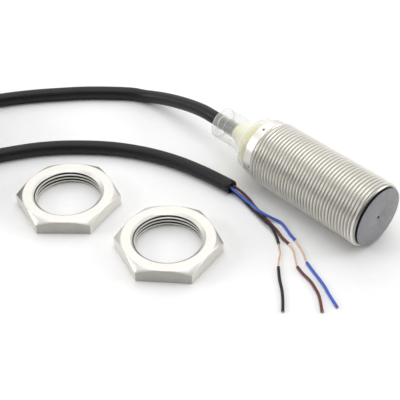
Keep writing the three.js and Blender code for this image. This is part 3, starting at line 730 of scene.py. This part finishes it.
# Straps round the coil's section: reach from the coil's centre inside and outside, and their section.
TIE_WIDTH, TIE_THICKNESS = 3 * MM, 0.6 * MM
TIE_INNER, TIE_OUTER = 14.1 * MM - TIE_THICKNESS, 31.65 * MM + TIE_THICKNESS
TIE_CORNER, TIE_EDGE = 1.6 * MM, 0.15 * MM
TIE_SLACK = 0.02 * MM

# The coil: layers of flat spiral turns, wound in and out in turn, with one rising turn between two
# layers. The last turn comes down outside the others. Angles are in degrees about the coil's centre.
COIL_HEADING = Vector((-0.480, -0.877, 0.0))
COIL_ACROSS = Vector((0.877, -0.480, 0.0))
COIL_START = -20
COIL_OUT = 25.8 * MM
COIL_LAST = 29.6 * MM
COIL_LAYERS = 4
COIL_SPIRAL = 763.75
COIL_RISE = 360
COIL_MOVE_OUT = 90
COIL_FALL = 330
COIL_STEP = 15
COIL_LIFT = 0.65 * MM
COIL_BULGE = 0.39


def coil_point(angle, radius, height):
    """A point of the coil."""
    turned = math.radians(angle)
    flat = COIL_HEADING * math.sin(turned) - COIL_ACROSS * math.cos(turned)
    centre = Vector((COIL_CENTRE.x, COIL_CENTRE.y, FLOOR + CABLE_DIAMETER / 2))
    return centre + flat * radius + Vector((0, 0, height))


def coil_route():
    """The points of the coiled cable, from where it reaches the coil to where it leaves it."""
    line, angle = [], COIL_START
    inner = COIL_OUT - CABLE_DIAMETER * COIL_SPIRAL / 360
    edges = (COIL_OUT, inner)
    for layer in range(COIL_LAYERS):
        start, end = edges if layer % 2 == 0 else edges[::-1]
        base = COIL_LIFT + layer * CABLE_DIAMETER
        for step in range(int(COIL_SPIRAL // COIL_STEP)):
            share = step * COIL_STEP / COIL_SPIRAL
            line.append(coil_point(angle + step * COIL_STEP, start + (end - start) * share, base))
        angle += COIL_SPIRAL
        if layer == COIL_LAYERS - 1:
            break
        side = -1 if end < start else 1
        for step in range(COIL_RISE // COIL_STEP):
            share = step * COIL_STEP / COIL_RISE
            bulge = side * COIL_BULGE * CABLE_DIAMETER * math.sin(math.pi * share)
            height = base + CABLE_DIAMETER * smoothstep(share)
            line.append(coil_point(angle + step * COIL_STEP, end + bulge, height))
        angle += COIL_RISE
    top = COIL_LIFT + (COIL_LAYERS - 1) * CABLE_DIAMETER
    outward = COIL_LAST - COIL_OUT
    for step in range(COIL_MOVE_OUT // COIL_STEP):
        share = smoothstep(step * COIL_STEP / COIL_MOVE_OUT)
        line.append(coil_point(angle + step * COIL_STEP, COIL_OUT + outward * share, top))
    angle += COIL_MOVE_OUT
    for step in range(COIL_FALL // COIL_STEP + 1):
        share = smoothstep(step * COIL_STEP / COIL_FALL)
        line.append(coil_point(angle + step * COIL_STEP, COIL_LAST, top * (1 - share)))
    return line


def cable_route():
    """The whole cable, from its end inside the clamp to the end that its wires leave."""
    inside = Vector((SHEATH_HIGH.x, 0, 0))
    out = Vector((COLLAR_END - 0.3 * MM, 0, 0))
    middle = inside.lerp(out, 0.5)
    knots = [inside, middle, out, *metres(CABLE_FROM_SENSOR), *coil_route(), *metres(CABLE_TO_WIRES)]
    return smooth_line(knots, 1.5 * MM)


def wire_route(name, *parts):
    """The points of one wire's parts, in metres."""
    points = [point for part in parts for point in WIRES[name][part]]
    return [Vector((x, y, WIRE_LIE + height)) * MM for x, y, height in points]


# ------------------------------------------------------------------ finishes


def colours():
    """The user's colours as plain tuples."""
    settings = bpy.context.scene.sensor_colours
    return {name: tuple(getattr(settings, name)) for name in SensorColours.__annotations__}


def nickel(name="nickel_plating", tint=None, rough=(0.32, 0.4), bump=0, groove=None):
    """Nickel plating on turned brass; groove is the share of its tint kept as painted shade in a thread's
    grooves.
    """
    tint = tint or colours()["nickel"]
    known = name in bpy.data.materials
    made = finish(name, tint, *rough, grain=9000, bump=bump, patches=200, drift=0.95, metallic=1.0)
    if groove and not known:
        paint_groove_shade(made, shade(groove, tint))
    return made


def paint_groove_shade(material, tint):
    """Paints shade: lets a darker tint show where the piece's groove attribute is high."""
    nodes = Nodes(material.node_tree)
    base = material.node_tree.nodes["Principled BSDF"].inputs["Base Color"]
    clean = base.links[0].from_socket
    depth = nodes.put("ShaderNodeAttribute", attribute_name="groove").outputs["Fac"]
    nodes.feed(base, nodes.mixed(depth, clean, (*tint, 1.0)))


def mark_groove_shade(piece, depth_at):
    """Stores the groove attribute, the share of painted shade, 0 on plain surfaces and 1 deep in a groove,
    from each point.
    """
    values = [depth_at(vertex.co) for vertex in piece.data.vertices]
    piece.data.attributes.new("groove", "FLOAT", "POINT").data.foreach_set("value", values)


def plastic(name, tint, rough=(0.35, 0.5), **more):
    """Moulded plastic or rubber."""
    settings = {"grain": 5000, "bump": 0.000006, "patches": 500, "drift": 0.88, **more}
    return finish(name, tint, *rough, **settings)


def see_through(material, straight, grazing):
    """Lets what lies behind show through, less so where the surface turns away."""
    nodes = Nodes(material.node_tree)
    facing = nodes.put("ShaderNodeLayerWeight", {"Blend": 0.35}).outputs["Facing"]
    surface = material.node_tree.nodes["Principled BSDF"].inputs
    nodes.feed(surface["Alpha"], nodes.spread(facing, 0.0, 1.0, straight, grazing))
    return material


# ------------------------------------------------------------------ operators


class SENSOR_OT_stage(bpy.types.Operator):
    """Puts in the floor, the lights and the camera"""

    bl_idname = "sensor.stage"
    bl_label = "Stage"

    def execute(self, context):
        floor = plastic("floor_paper", colours()["floor"], (0.55, 0.7), drift=0.985, bump=0)
        square = ((-1, -1), (1, -1), (1, 1), (-1, 1))
        corners = [(x * FLOOR_REACH, y * FLOOR_REACH, FLOOR) for x, y in square]
        sheet = mesh_object("floor", corners, [(0, 1, 2, 3)], floor)
        aim = Vector((BARREL_LOW.x, COIL_CENTRE.y / 3, FLOOR))
        for name, place, size, power in LIGHTS:
            lamp = bpy.data.lights.new(name, "AREA")
            lamp.shape = "RECTANGLE"
            lamp.size, lamp.size_y = size
            lamp.energy = power
            holder = link(bpy.data.objects.new(name, lamp))
            holder.location = place
            holder.rotation_euler = (aim - Vector(place)).to_track_quat("-Z", "Y").to_euler()
        context.scene.world = studio_world()
        context.scene.view_settings.view_transform = "Standard"
        lens = bpy.data.cameras.new("camera")
        lens.lens = CAMERA_LENS
        lens.sensor_width = 36
        lens.clip_start = 0.01
        eye = link(bpy.data.objects.new("camera", lens))
        eye.location = CAMERA_PLACE
        eye.rotation_euler = (CAMERA_AIM - CAMERA_PLACE).to_track_quat("-Z", "Y").to_euler()
        context.scene.camera = eye
        return {"FINISHED"}


def studio_world():
    """Soft light from above and behind, darker towards the front, with a plain pale backdrop."""
    world = bpy.data.worlds.new("studio")
    world.use_nodes = True
    nodes = Nodes(world.node_tree)
    direction = nodes.put("ShaderNodeTexCoord").outputs["Generated"]
    facing = nodes.vector("DOT_PRODUCT", direction, BRIGHT_SIDE, outlet=1)
    glow = nodes.spread(facing, -0.05, 0.6, WORLD_DARK, WORLD_BRIGHT, interpolation_type="SMOOTHSTEP")
    seen = nodes.put("ShaderNodeLightPath").outputs["Is Camera Ray"]
    chosen = nodes.put("ShaderNodeMix", {0: seen, 2: glow, 3: BACKDROP}, data_type="FLOAT").outputs[0]
    background = world.node_tree.nodes["Background"].inputs
    nodes.feed(background["Strength"], chosen)
    background["Color"].default_value = (1, 1, 1, 1)
    return world


class SENSOR_OT_cable(bpy.types.Operator):
    """Lays the sheathed cable with its coil and the ties round it"""

    bl_idname = "sensor.cable"
    bl_label = "Cable"

    def execute(self, context):
        route = cable_route()
        radius = CABLE_DIAMETER / 2
        skin = plastic(
            "sheath_black", colours()["sheath"], (0.38, 0.5), grain=3500, bump=0.000004, patches=700,
            specular_ior_level=0.3,
        )
        mouth = [(past * radius, share * radius) for past, share in SHEATH_MOUTH]
        sheath = sweep("cable_sheath", route, radius, skin, sides=24, mouth=mouth)
        seat(
            sheath, "root", "sheath",
            "cable_in_clamp", "cable_from_sensor", "cable_coil", "cable_to_wires",
        )
        ties = [tie_loop(number) for number in (1, 2)]
        return {"FINISHED"}


def tie_loop(number):
    """A strap round the coil's section."""
    low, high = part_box(f"coil_tie_{number}")
    centre = (low + high) / 2
    outward = Vector((centre.x - COIL_CENTRE.x, centre.y - COIL_CENTRE.y, 0)).normalized()
    along = Vector((0, 0, 1)).cross(outward)
    hub = Vector((COIL_CENTRE.x, COIL_CENTRE.y, 0))
    near, far = TIE_INNER + TIE_CORNER, TIE_OUTER - TIE_CORNER
    bottom, top = low.z + TIE_SLACK + TIE_CORNER, high.z - TIE_SLACK - TIE_CORNER
    loop = []
    for reach, height, start in ((far, top, 0), (near, top, 90), (near, bottom, 180), (far, bottom, 270)):
        for step in range(7):
            angle = math.radians(start + 15 * step)
            loop.append((reach, height, math.cos(angle), math.sin(angle)))
    half, edge, under = TIE_WIDTH / 2, TIE_EDGE, -TIE_THICKNESS
    rows = [(-half, -edge), (-half + edge, 0), (half - edge, 0), (half, -edge)]
    rows += [(half, under + edge), (half - edge, under), (-half + edge, under), (-half, under + edge)]
    points = []
    for reach, height, spread, rise in loop:
        for side, depth in rows:
            away, up = (TIE_CORNER + depth) * spread, (TIE_CORNER + depth) * rise
            points.append(hub + outward * (reach + away) + along * side + Vector((0, 0, height + up)))
    black = plastic("tie_black", (0.016, 0.016, 0.018))
    faces = ring_faces(len(loop), len(rows), closed=True)
    strap = mesh_object(f"coil_strap_{number}", points, faces, black)
    outward_faces(strap)
    return seat(strap, "root", "tie", f"coil_tie_{number}")


class SENSOR_OT_wires(bpy.types.Operator):
    """Lays the three wires with their stranded conductors and cut ends"""

    bl_idname = "sensor.wires"
    bl_label = "Wires"

    def execute(self, context):
        sizes = context.scene.sensor_sizes
        tints = colours()
        radius = sizes.wire_diameter / 2
        bore = sizes.copper_diameter / 2 + BORE_SLACK
        look = {"grain": 9000, "patches": 1500, "drift": 0.8, "metallic": 1.0}
        metal = finish("copper_strands", tints["copper"], 0.22, 0.4, **look)
        for name in WIRES:
            look = {"grain": 9000, "patches": 900, "specular_ior_level": 0.35}
            skin = plastic(f"insulation_{name}", tints[name], (0.35, 0.5), **look)
            first = wire_route(name, "insulation")
            first = [first[0] - Vector((WIRE_HIDDEN, 0, 0)), *first]
            for label, line in (("insulation", first), ("cut_end", wire_route(name, "end"))):
                tube = pipe(f"wire_{label}_{name}", smooth_line(line, 0.6 * MM), radius, bore, skin)
                node = "wire_" if label == "insulation" else "wire_end_"
                seat(tube, "root", f"wire_{name}", node + name)
            core = [first[0], *wire_route(name, "insulation", "copper", "end")]
            route = smooth_line(core, 0.8 * MM)
            strands = twisted(f"conductor_{name}", route, sizes, metal)
            seat(strands, "root", "copper", f"copper_{name}")
        return {"FINISHED"}


def pipe(name, line, radius, bore, material, sides=20):
    """A wire's insulation along a line, cut square, with its bore open a little way in."""
    edge = 0.1 * radius
    mouth = [(-edge, radius), (0.0, radius - edge), (0.0, bore), (-BORE_SEEN, bore)]
    return sweep(name, line, radius, material, sides, mouth)


def twisted(name, route, sizes, metal):
    """Seven fine strands twisted along a route."""
    line = bpy.data.curves.new(name + "_line", "CURVE")
    line.dimensions = "3D"
    spline = line.splines.new("POLY")
    spline.points.add(len(route) - 1)
    for knot, point in zip(spline.points, route):
        knot.co = (*point, 1.0)
    strand = sizes.copper_diameter * 0.16
    bundle = sizes.copper_diameter / 2 - strand
    values = {"Strands": 7, "Bundle Radius": bundle, "Strand Radius": strand, "Lay Length": 7 * MM}
    made = grown(name, "twisted_strands", {**values, "Material": metal}, line)
    soften(made.data, 50)
    return made


class SENSOR_OT_barrel(bpy.types.Operator):
    """Makes the threaded barrel with its smooth crimped band"""

    bl_idname = "sensor.barrel"
    bl_label = "Barrel"

    def execute(self, context):
        sizes = context.scene.sensor_sizes
        front, rear = BARREL_HIGH.x, BARREL_LOW.x
        band_front = front - sizes.thread_length
        depth = sizes.thread_depth
        root = THREAD_RADIUS - depth
        values = {
            "Start": band_front, "Length": sizes.thread_length, "Pitch": sizes.thread_pitch,
            "Crest Radius": THREAD_RADIUS, "Root Radius": root, "End Radius": root, "End Slope": 0.9,
            "Phase": THREAD_PHASE, "Segments": sizes.facets, "Material": nickel(groove=0.55),
        }
        barrel = grown("barrel_with_thread", "helical_thread", values)
        band = sizes.band_radius
        step = (band_front - rear - 2 * BAND_EDGE) / BAND_ROWS
        profile = [(root, band_front), (band - 0.08 * MM, band_front - 0.04 * MM)]
        profile += [(band, band_front - BAND_EDGE - step * row) for row in range(BAND_ROWS + 1)]
        profile += [(band - 0.07 * MM, rear + 0.06 * MM), (band - 0.22 * MM, rear)]
        profile += [(sizes.bore_radius, rear), (sizes.bore_radius, front)]
        profile += [(root - 0.1 * MM, front), (root, front)]
        points, faces = revolved(profile, sizes.facets)
        points = [dented(Vector(point), band) for point in points]
        outward_faces(barrel, points, faces, THREAD_WELD)
        soften(barrel.data, 32)

        def groove(point):
            """Painted shade: deep between the crests of the thread, and in the punch marks."""
            radius = math.hypot(point.y, point.z)
            if point.x > band_front:
                outside = radius > root - WELD
                return smoothstep((THREAD_RADIUS - radius - depth * 0.35) / (depth * 0.5)) * outside
            outside = radius > band - CRIMP_DEPTH * 1.1
            return smoothstep((band - radius) / (CRIMP_DEPTH * 0.6)) * outside

        # Painted shade: the thread's roots darken to 0.55 of the plating's tint, and the punch marks to near
        # black.
        mark_groove_shade(barrel, groove)
        band_metal = nickel("nickel_band", rough=(0.38, 0.48), groove=0.04)
        paint(barrel, band_metal, lambda polygon: polygon.center.x < band_front)
        seat(barrel, "root", "nickel", "threaded_barrel")
        return {"FINISHED"}


def dented(point, band):
    """A point of the band, pressed in where a punch struck the crimp."""
    radius = math.hypot(point.y, point.z)
    if abs(radius - band) > 0.01 * MM:
        return point
    for along, angle in CRIMPS:
        turned = math.radians(angle)
        centre = Vector((along * MM, band * math.cos(turned), band * math.sin(turned)))
        share = (point - centre).length / (CRIMP_WIDTH / 2)
        depth = CRIMP_DEPTH * (1 - smoothstep(share))
        point = Vector((point.x, point.y * (1 - depth / radius), point.z * (1 - depth / radius)))
    return point


class SENSOR_OT_head(bpy.types.Operator):
    """Makes the moulded sensing face and the winding behind it"""

    bl_idname = "sensor.head"
    bl_label = "Sensing head"

    def execute(self, context):
        rim = CAP_HIGH.z
        skirt = context.scene.sensor_sizes.bore_radius - FIT_GAP
        inner = skirt - CAP_SIDE_WALL
        shelf = BARREL_HIGH.x + FIT_GAP / 10
        dimple = DIMPLE_RADIUS
        profile = [
            (0, -CAP_FACE_WALL), (inner, -CAP_FACE_WALL), (inner, CAP_LOW.x), (skirt, CAP_LOW.x),
            (skirt, shelf), (rim, shelf), (rim, -0.16 * MM), (rim - 0.05 * MM, -0.05 * MM),
            (rim - 0.16 * MM, 0), (dimple * 1.15, 0), (dimple, -0.05 * MM),
            (dimple * 0.9, -DIMPLE_DEPTH), (0, -DIMPLE_DEPTH),
        ]
        grey = plastic("face_grey", colours()["face"], (0.5, 0.62), grain=2600, bump=0.00001, patches=700)
        # Near black for painted shade on the rim's side and in the dimple.
        black = plastic("face_rim_black", (0.004, 0.004, 0.005), (0.6, 0.7), specular_ior_level=0.15)
        cap = turned_piece("sensing_face", profile, 128, grey)

        def shaded(polygon):
            """The rim's side and the inside of the dimple, painted near black as shade."""
            middle = polygon.center
            return middle.x < -0.03 * MM or math.hypot(middle.y, middle.z) < dimple

        paint(cap, black, shaded)
        seat(cap, "root", "face", "sensing_cap")
        enamel = finish("winding_enamel", (0.55, 0.16, 0.05), 0.2, 0.35, metallic=1.0)
        values = {
            "Start": WINDING_LOW.x, "Width": WINDING_HIGH.x - WINDING_LOW.x, "Inner Radius": COIL_INNER,
            "Outer Radius": WINDING_HIGH.z, "Wire Diameter": WIRE_OF_COIL, "Material": enamel,
        }
        coil = grown("sensing_winding", "wire_winding", values)
        soften(coil.data, 50)
        seat(coil, "root", "winding", "sensing_coil")
        return {"FINISHED"}


class SENSOR_OT_clamp(bpy.types.Operator):
    """Makes the translucent rear clamp, the resin inside it and its seal"""

    bl_idname = "sensor.clamp"
    bl_label = "Rear clamp"

    def execute(self, context):
        sizes = context.scene.sensor_sizes
        tints = colours()
        outer, wall, thin = CLAMP_LOW_RADIUS, CLAMP_WALL, CLAMP_THIN_WALL
        collar, flange = sizes.collar_radius, sizes.flange_radius
        rear = BARREL_LOW.x - 0.04 * MM
        shoulder = BARREL_LOW.x - sizes.flange_length
        start = shoulder - sizes.shoulder_length
        end, front = COLLAR_END, CLAMP_HIGH.x
        lip = CABLE_DIAMETER / 2 + CLAMP_LIP_SLACK
        bore = lip + FIT_GAP
        seal, groove = front - SEAL_PLACE, SEAL_GROOVE
        slope = [
            (collar + (flange - collar) * up, start + sizes.shoulder_length * along)
            for along, up in SHOULDER_OUTLINE
        ]
        profile = [(lip, end), (collar, end), *slope, (flange, shoulder), (flange, rear)]
        profile += [(outer, rear), (outer, seal - groove)]
        profile += [(outer - 2 * groove, seal - groove), (outer - 2 * groove, seal + groove)]
        profile += [(outer, seal + groove), (outer, front), (outer - wall, front)]
        pocket = [
            (outer - wall, BARREL_LOW.x), (outer - thin, BARREL_LOW.x - thin), (outer - thin, shoulder),
            (bore + thin, start), (bore, SHEATH_HIGH.x + FIT_GAP),
        ]
        profile += [*pocket, (bore, end + CLAMP_LIP), (lip, end + CLAMP_LIP - 0.1 * MM)]
        profile = rounded(profile, CLAMP_SOFT, steps=5, closed=True)
        look = {"grain": 900, "bump": 0, "patches": 150, "drift": 0.97}
        milky = see_through(plastic("clamp_milky", tints["clamp"], (0.12, 0.2), **look), 0.05, 0.85)
        # A near opaque copy of the clamp's finish: a painted highlight on the collar's rim and the inner
        # ring.
        highlight_veil = see_through(plastic("clamp_edge", tints["clamp"], (0.15, 0.25), bump=0), 0.85, 1.0)
        clamp = turned_piece("cable_clamp", profile, 96, milky, closed=True)

        def edge(polygon):
            """The collar's rounded rim, and the ring inside it that holds the cable, made near opaque as a
            painted highlight.
            """
            along = polygon.center.x - end
            radius = math.hypot(polygon.center.y, polygon.center.z)
            rim = along < FIT_GAP and not lip + FIT_GAP < radius < collar - FIT_GAP
            return rim or 2.3 * MM < along < 2.6 * MM and radius < collar - MM

        paint(clamp, highlight_veil, edge)
        seat(clamp, "root", "clamp", "rear_clamp")
        filled = [(0, front - 0.2 * MM), (outer - wall, front - 0.2 * MM), *pocket]
        filled = [(max(0.0, radius - 0.06 * MM), along) for radius, along in filled]
        filled += [(0, SHEATH_HIGH.x + FIT_GAP)]
        amber = plastic("resin_pale", tints["resin"], (0.3, 0.45), grain=1200, patches=300)
        fill = turned_piece("clamp_resin", rounded(filled, CLAMP_SOFT, steps=5), 96, amber)
        seat(fill, "root", "resin")
        middle, size = outer - SEAL_SECTION, SEAL_SECTION
        turns = [TURN * step / 24 for step in range(24)]
        circle = [(middle + size * math.cos(turn), seal + size * math.sin(turn)) for turn in turns]
        rubber = plastic("seal_rubber", (0.02, 0.02, 0.02), (0.6, 0.7))
        ring = turned_piece("clamp_o_ring", circle, 96, rubber, angle=60, closed=True)
        seat(ring, "root", "rubber", "clamp_seal")
        return {"FINISHED"}


class SENSOR_OT_nuts(bpy.types.Operator):
    """Makes the two hexagonal lock nuts with their threads"""

    bl_idname = "sensor.nuts"
    bl_label = "Lock nuts"

    def execute(self, context):
        for number, turn in NUT_TURNS:
            self.nut(context.scene.sensor_sizes, number, turn)
        return {"FINISHED"}

    def nut(self, sizes, number, turn):
        """One nut, lying flat, with a corner in the direction given in degrees."""
        low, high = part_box(f"lock_nut_{number}")
        centre, thickness = (low + high) / 2, high.z - low.z
        plate = colours()["nickel"]
        sink = sizes.nut_sink / 2
        crest = THREAD_RADIUS + 0.1 * MM
        root = crest - sizes.thread_depth
        face, flats = sizes.nut_face / 2, sizes.nut_flats / 2
        count = sizes.facets - sizes.facets % 12
        values = {
            "Start": 0.0, "Length": thickness, "Pitch": sizes.thread_pitch, "Crest Radius": crest,
            "Root Radius": root, "End Radius": sink, "End Slope": (root - sink) / sizes.nut_sink_depth,
            "Internal": True, "Segments": count,
            "Material": nickel("nut_plating", shade(0.9, plate), (0.34, 0.44), groove=0.06),
        }
        nut = grown(f"hex_nut_{number}", "helical_thread", values)
        points = []
        for step in range(count):
            angle = TURN * step / count
            swing = (angle + math.pi / 6) % (math.pi / 3) - math.pi / 6
            reach = flats / math.cos(swing)
            top = thickness - (reach - face) * NUT_SLOPE
            column = nut_section(sink, face, reach, top, thickness)
            points += [(up, out * math.cos(angle), out * math.sin(angle)) for out, up in column]
        tall = len(column)
        faces = []
        for step in range(count):
            here, beside = step * tall, (step + 1) % count * tall
            for row in range(tall - 1):
                faces.append((here + row, beside + row, beside + row + 1, here + row + 1))
        outward_faces(nut, points, faces, THREAD_WELD)
        upright = Matrix.Rotation(math.radians(turn), 4, "Z") @ Matrix.Rotation(-math.pi / 2, 4, "Y")
        nut.data.transform(Matrix.Translation((centre.x, centre.y, low.z)) @ upright)
        outward_faces(nut)
        shaded_side = math.radians(turn - 30)

        def is_flat(polygon):
            """The six sides."""
            offset = polygon.center - centre
            return math.hypot(offset.x, offset.y) > face and abs(polygon.normal.z) < 0.2

        def is_shaded_flat(polygon):
            """The two opposite sides, with a rougher finish and a darker tint that paints shade."""
            across = polygon.normal.x * math.cos(shaded_side) + polygon.normal.y * math.sin(shaded_side)
            return is_flat(polygon) and abs(across) > 0.9

        def groove(point):
            """Painted shade: deep between the crests of the inner thread."""
            depth = (math.hypot(point.x - centre.x, point.y - centre.y) - crest) / sizes.thread_depth + 1
            inside = sizes.nut_sink_depth < point.z - low.z < thickness - sizes.nut_sink_depth * 0.9
            return smoothstep((depth - 0.15) / 0.4) if inside and depth < 1.05 else 0.0

        paint(nut, nickel("nut_flats", shade(0.95, plate), (0.4, 0.52), 0.000002), is_flat)
        # Painted shade: two opposite sides get a tint at 0.6 of the plating's, as well as a rougher finish.
        paint(nut, nickel("nut_sawn_flats", shade(0.6, plate), (0.45, 0.65), 0.000006), is_shaded_flat)
        # Painted shade: the inner thread's roots darken to near black.
        mark_groove_shade(nut, groove)
        soften(nut.data, 25)
        seat(nut, f"nut_{number}", "nut_nickel", f"lock_nut_{number}")


def nut_section(sink, face, reach, top, thickness):
    """The nut's outline at one side, as (radius, height), from the lower countersink to the upper one."""
    soft = NUT_SOFT
    return [
        (sink, 0), (reach - soft * 2, 0), (reach - soft, 0), (reach - soft * 0.3, soft * 0.3),
        (reach, soft), (reach, soft * 2), (reach, top - soft * 2),
        (reach, top - soft), (reach - soft * 0.15, top - soft * 0.35),
        (reach - soft * 0.7, top + soft * 0.25),
        (face + soft * 0.5, thickness - soft * 0.4), (face - soft * 0.5, thickness),
        (face - soft * 2, thickness), (sink, thickness),
    ]


class SENSOR_OT_inner_parts(bpy.types.Operator):
    """Gives the sealed inner parts their finishes"""

    bl_idname = "sensor.inner_parts"
    bl_label = "Inner parts"

    def execute(self, context):
        tints = colours()
        dull = (0.6, 0.8)
        paints = {
            plastic("ferrite_grey", (0.03, 0.028, 0.03), dull): ("ferrite_core",),
            plastic("carrier_white", (0.62, 0.58, 0.5)): ("coil_bobbin", "core_carrier"),
            plastic("board_green", (0.015, 0.12, 0.045), (0.25, 0.4)): ("circuit_board",),
            plastic("chip_black", (0.02, 0.02, 0.022)): (
                "amplifier_chip", "output_transistor", "protection_diode",
            ),
            plastic("ceramic_brown", (0.32, 0.22, 0.13)): (
                "filter_capacitor", "supply_capacitor", "tuning_resistor", "output_resistor",
            ),
            plastic("led_amber", (0.8, 0.3, 0.03), (0.1, 0.2)): ("indicator_led",),
            plastic("resin_pale", tints["resin"], (0.3, 0.45)): ("potting_resin",),
        }
        for name in WIRES:
            paints[plastic(f"insulation_{name}", tints[name], (0.3, 0.42))] = (f"inner_lead_{name}",)
        for paint, nodes in paints.items():
            for node in nodes:
                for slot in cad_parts[node].material_slots:
                    slot.material = paint
        return {"FINISHED"}


# ------------------------------------------------------------------ add-on


class VIEW3D_PT_sensor(bpy.types.Panel):
    """Lists the pieces of the sensor, and its sizes and colours"""

    bl_label = "Proximity sensor"
    bl_idname = "VIEW3D_PT_sensor"
    bl_space_type = "VIEW_3D"
    bl_region_type = "UI"
    bl_category = "Sensor"

    def draw(self, context):
        for operator in OPERATORS:
            self.layout.operator(operator.bl_idname)
        for group in (context.scene.sensor_sizes, context.scene.sensor_colours):
            column = self.layout.column()
            for name in type(group).__annotations__:
                column.prop(group, name)


OPERATORS = (
    SENSOR_OT_stage,
    SENSOR_OT_cable,
    SENSOR_OT_wires,
    SENSOR_OT_barrel,
    SENSOR_OT_head,
    SENSOR_OT_clamp,
    SENSOR_OT_nuts,
    SENSOR_OT_inner_parts,
)
CLASSES = (SensorSizes, SensorColours, *OPERATORS, VIEW3D_PT_sensor)


def register():
    """Adds the classes and the scene's settings."""
    for item in CLASSES:
        bpy.utils.register_class(item)
    bpy.types.Scene.sensor_sizes = PointerProperty(type=SensorSizes)
    bpy.types.Scene.sensor_colours = PointerProperty(type=SensorColours)


def unregister():
    """Takes them out again."""
    del bpy.types.Scene.sensor_colours
    del bpy.types.Scene.sensor_sizes
    for item in reversed(CLASSES):
        bpy.utils.unregister_class(item)


def main():
    """Builds every piece."""
    register()
    for operator in OPERATORS:
        group, action = operator.bl_idname.split(".")
        getattr(getattr(bpy.ops, group), action)()


if __name__ == "__main__":
    main()
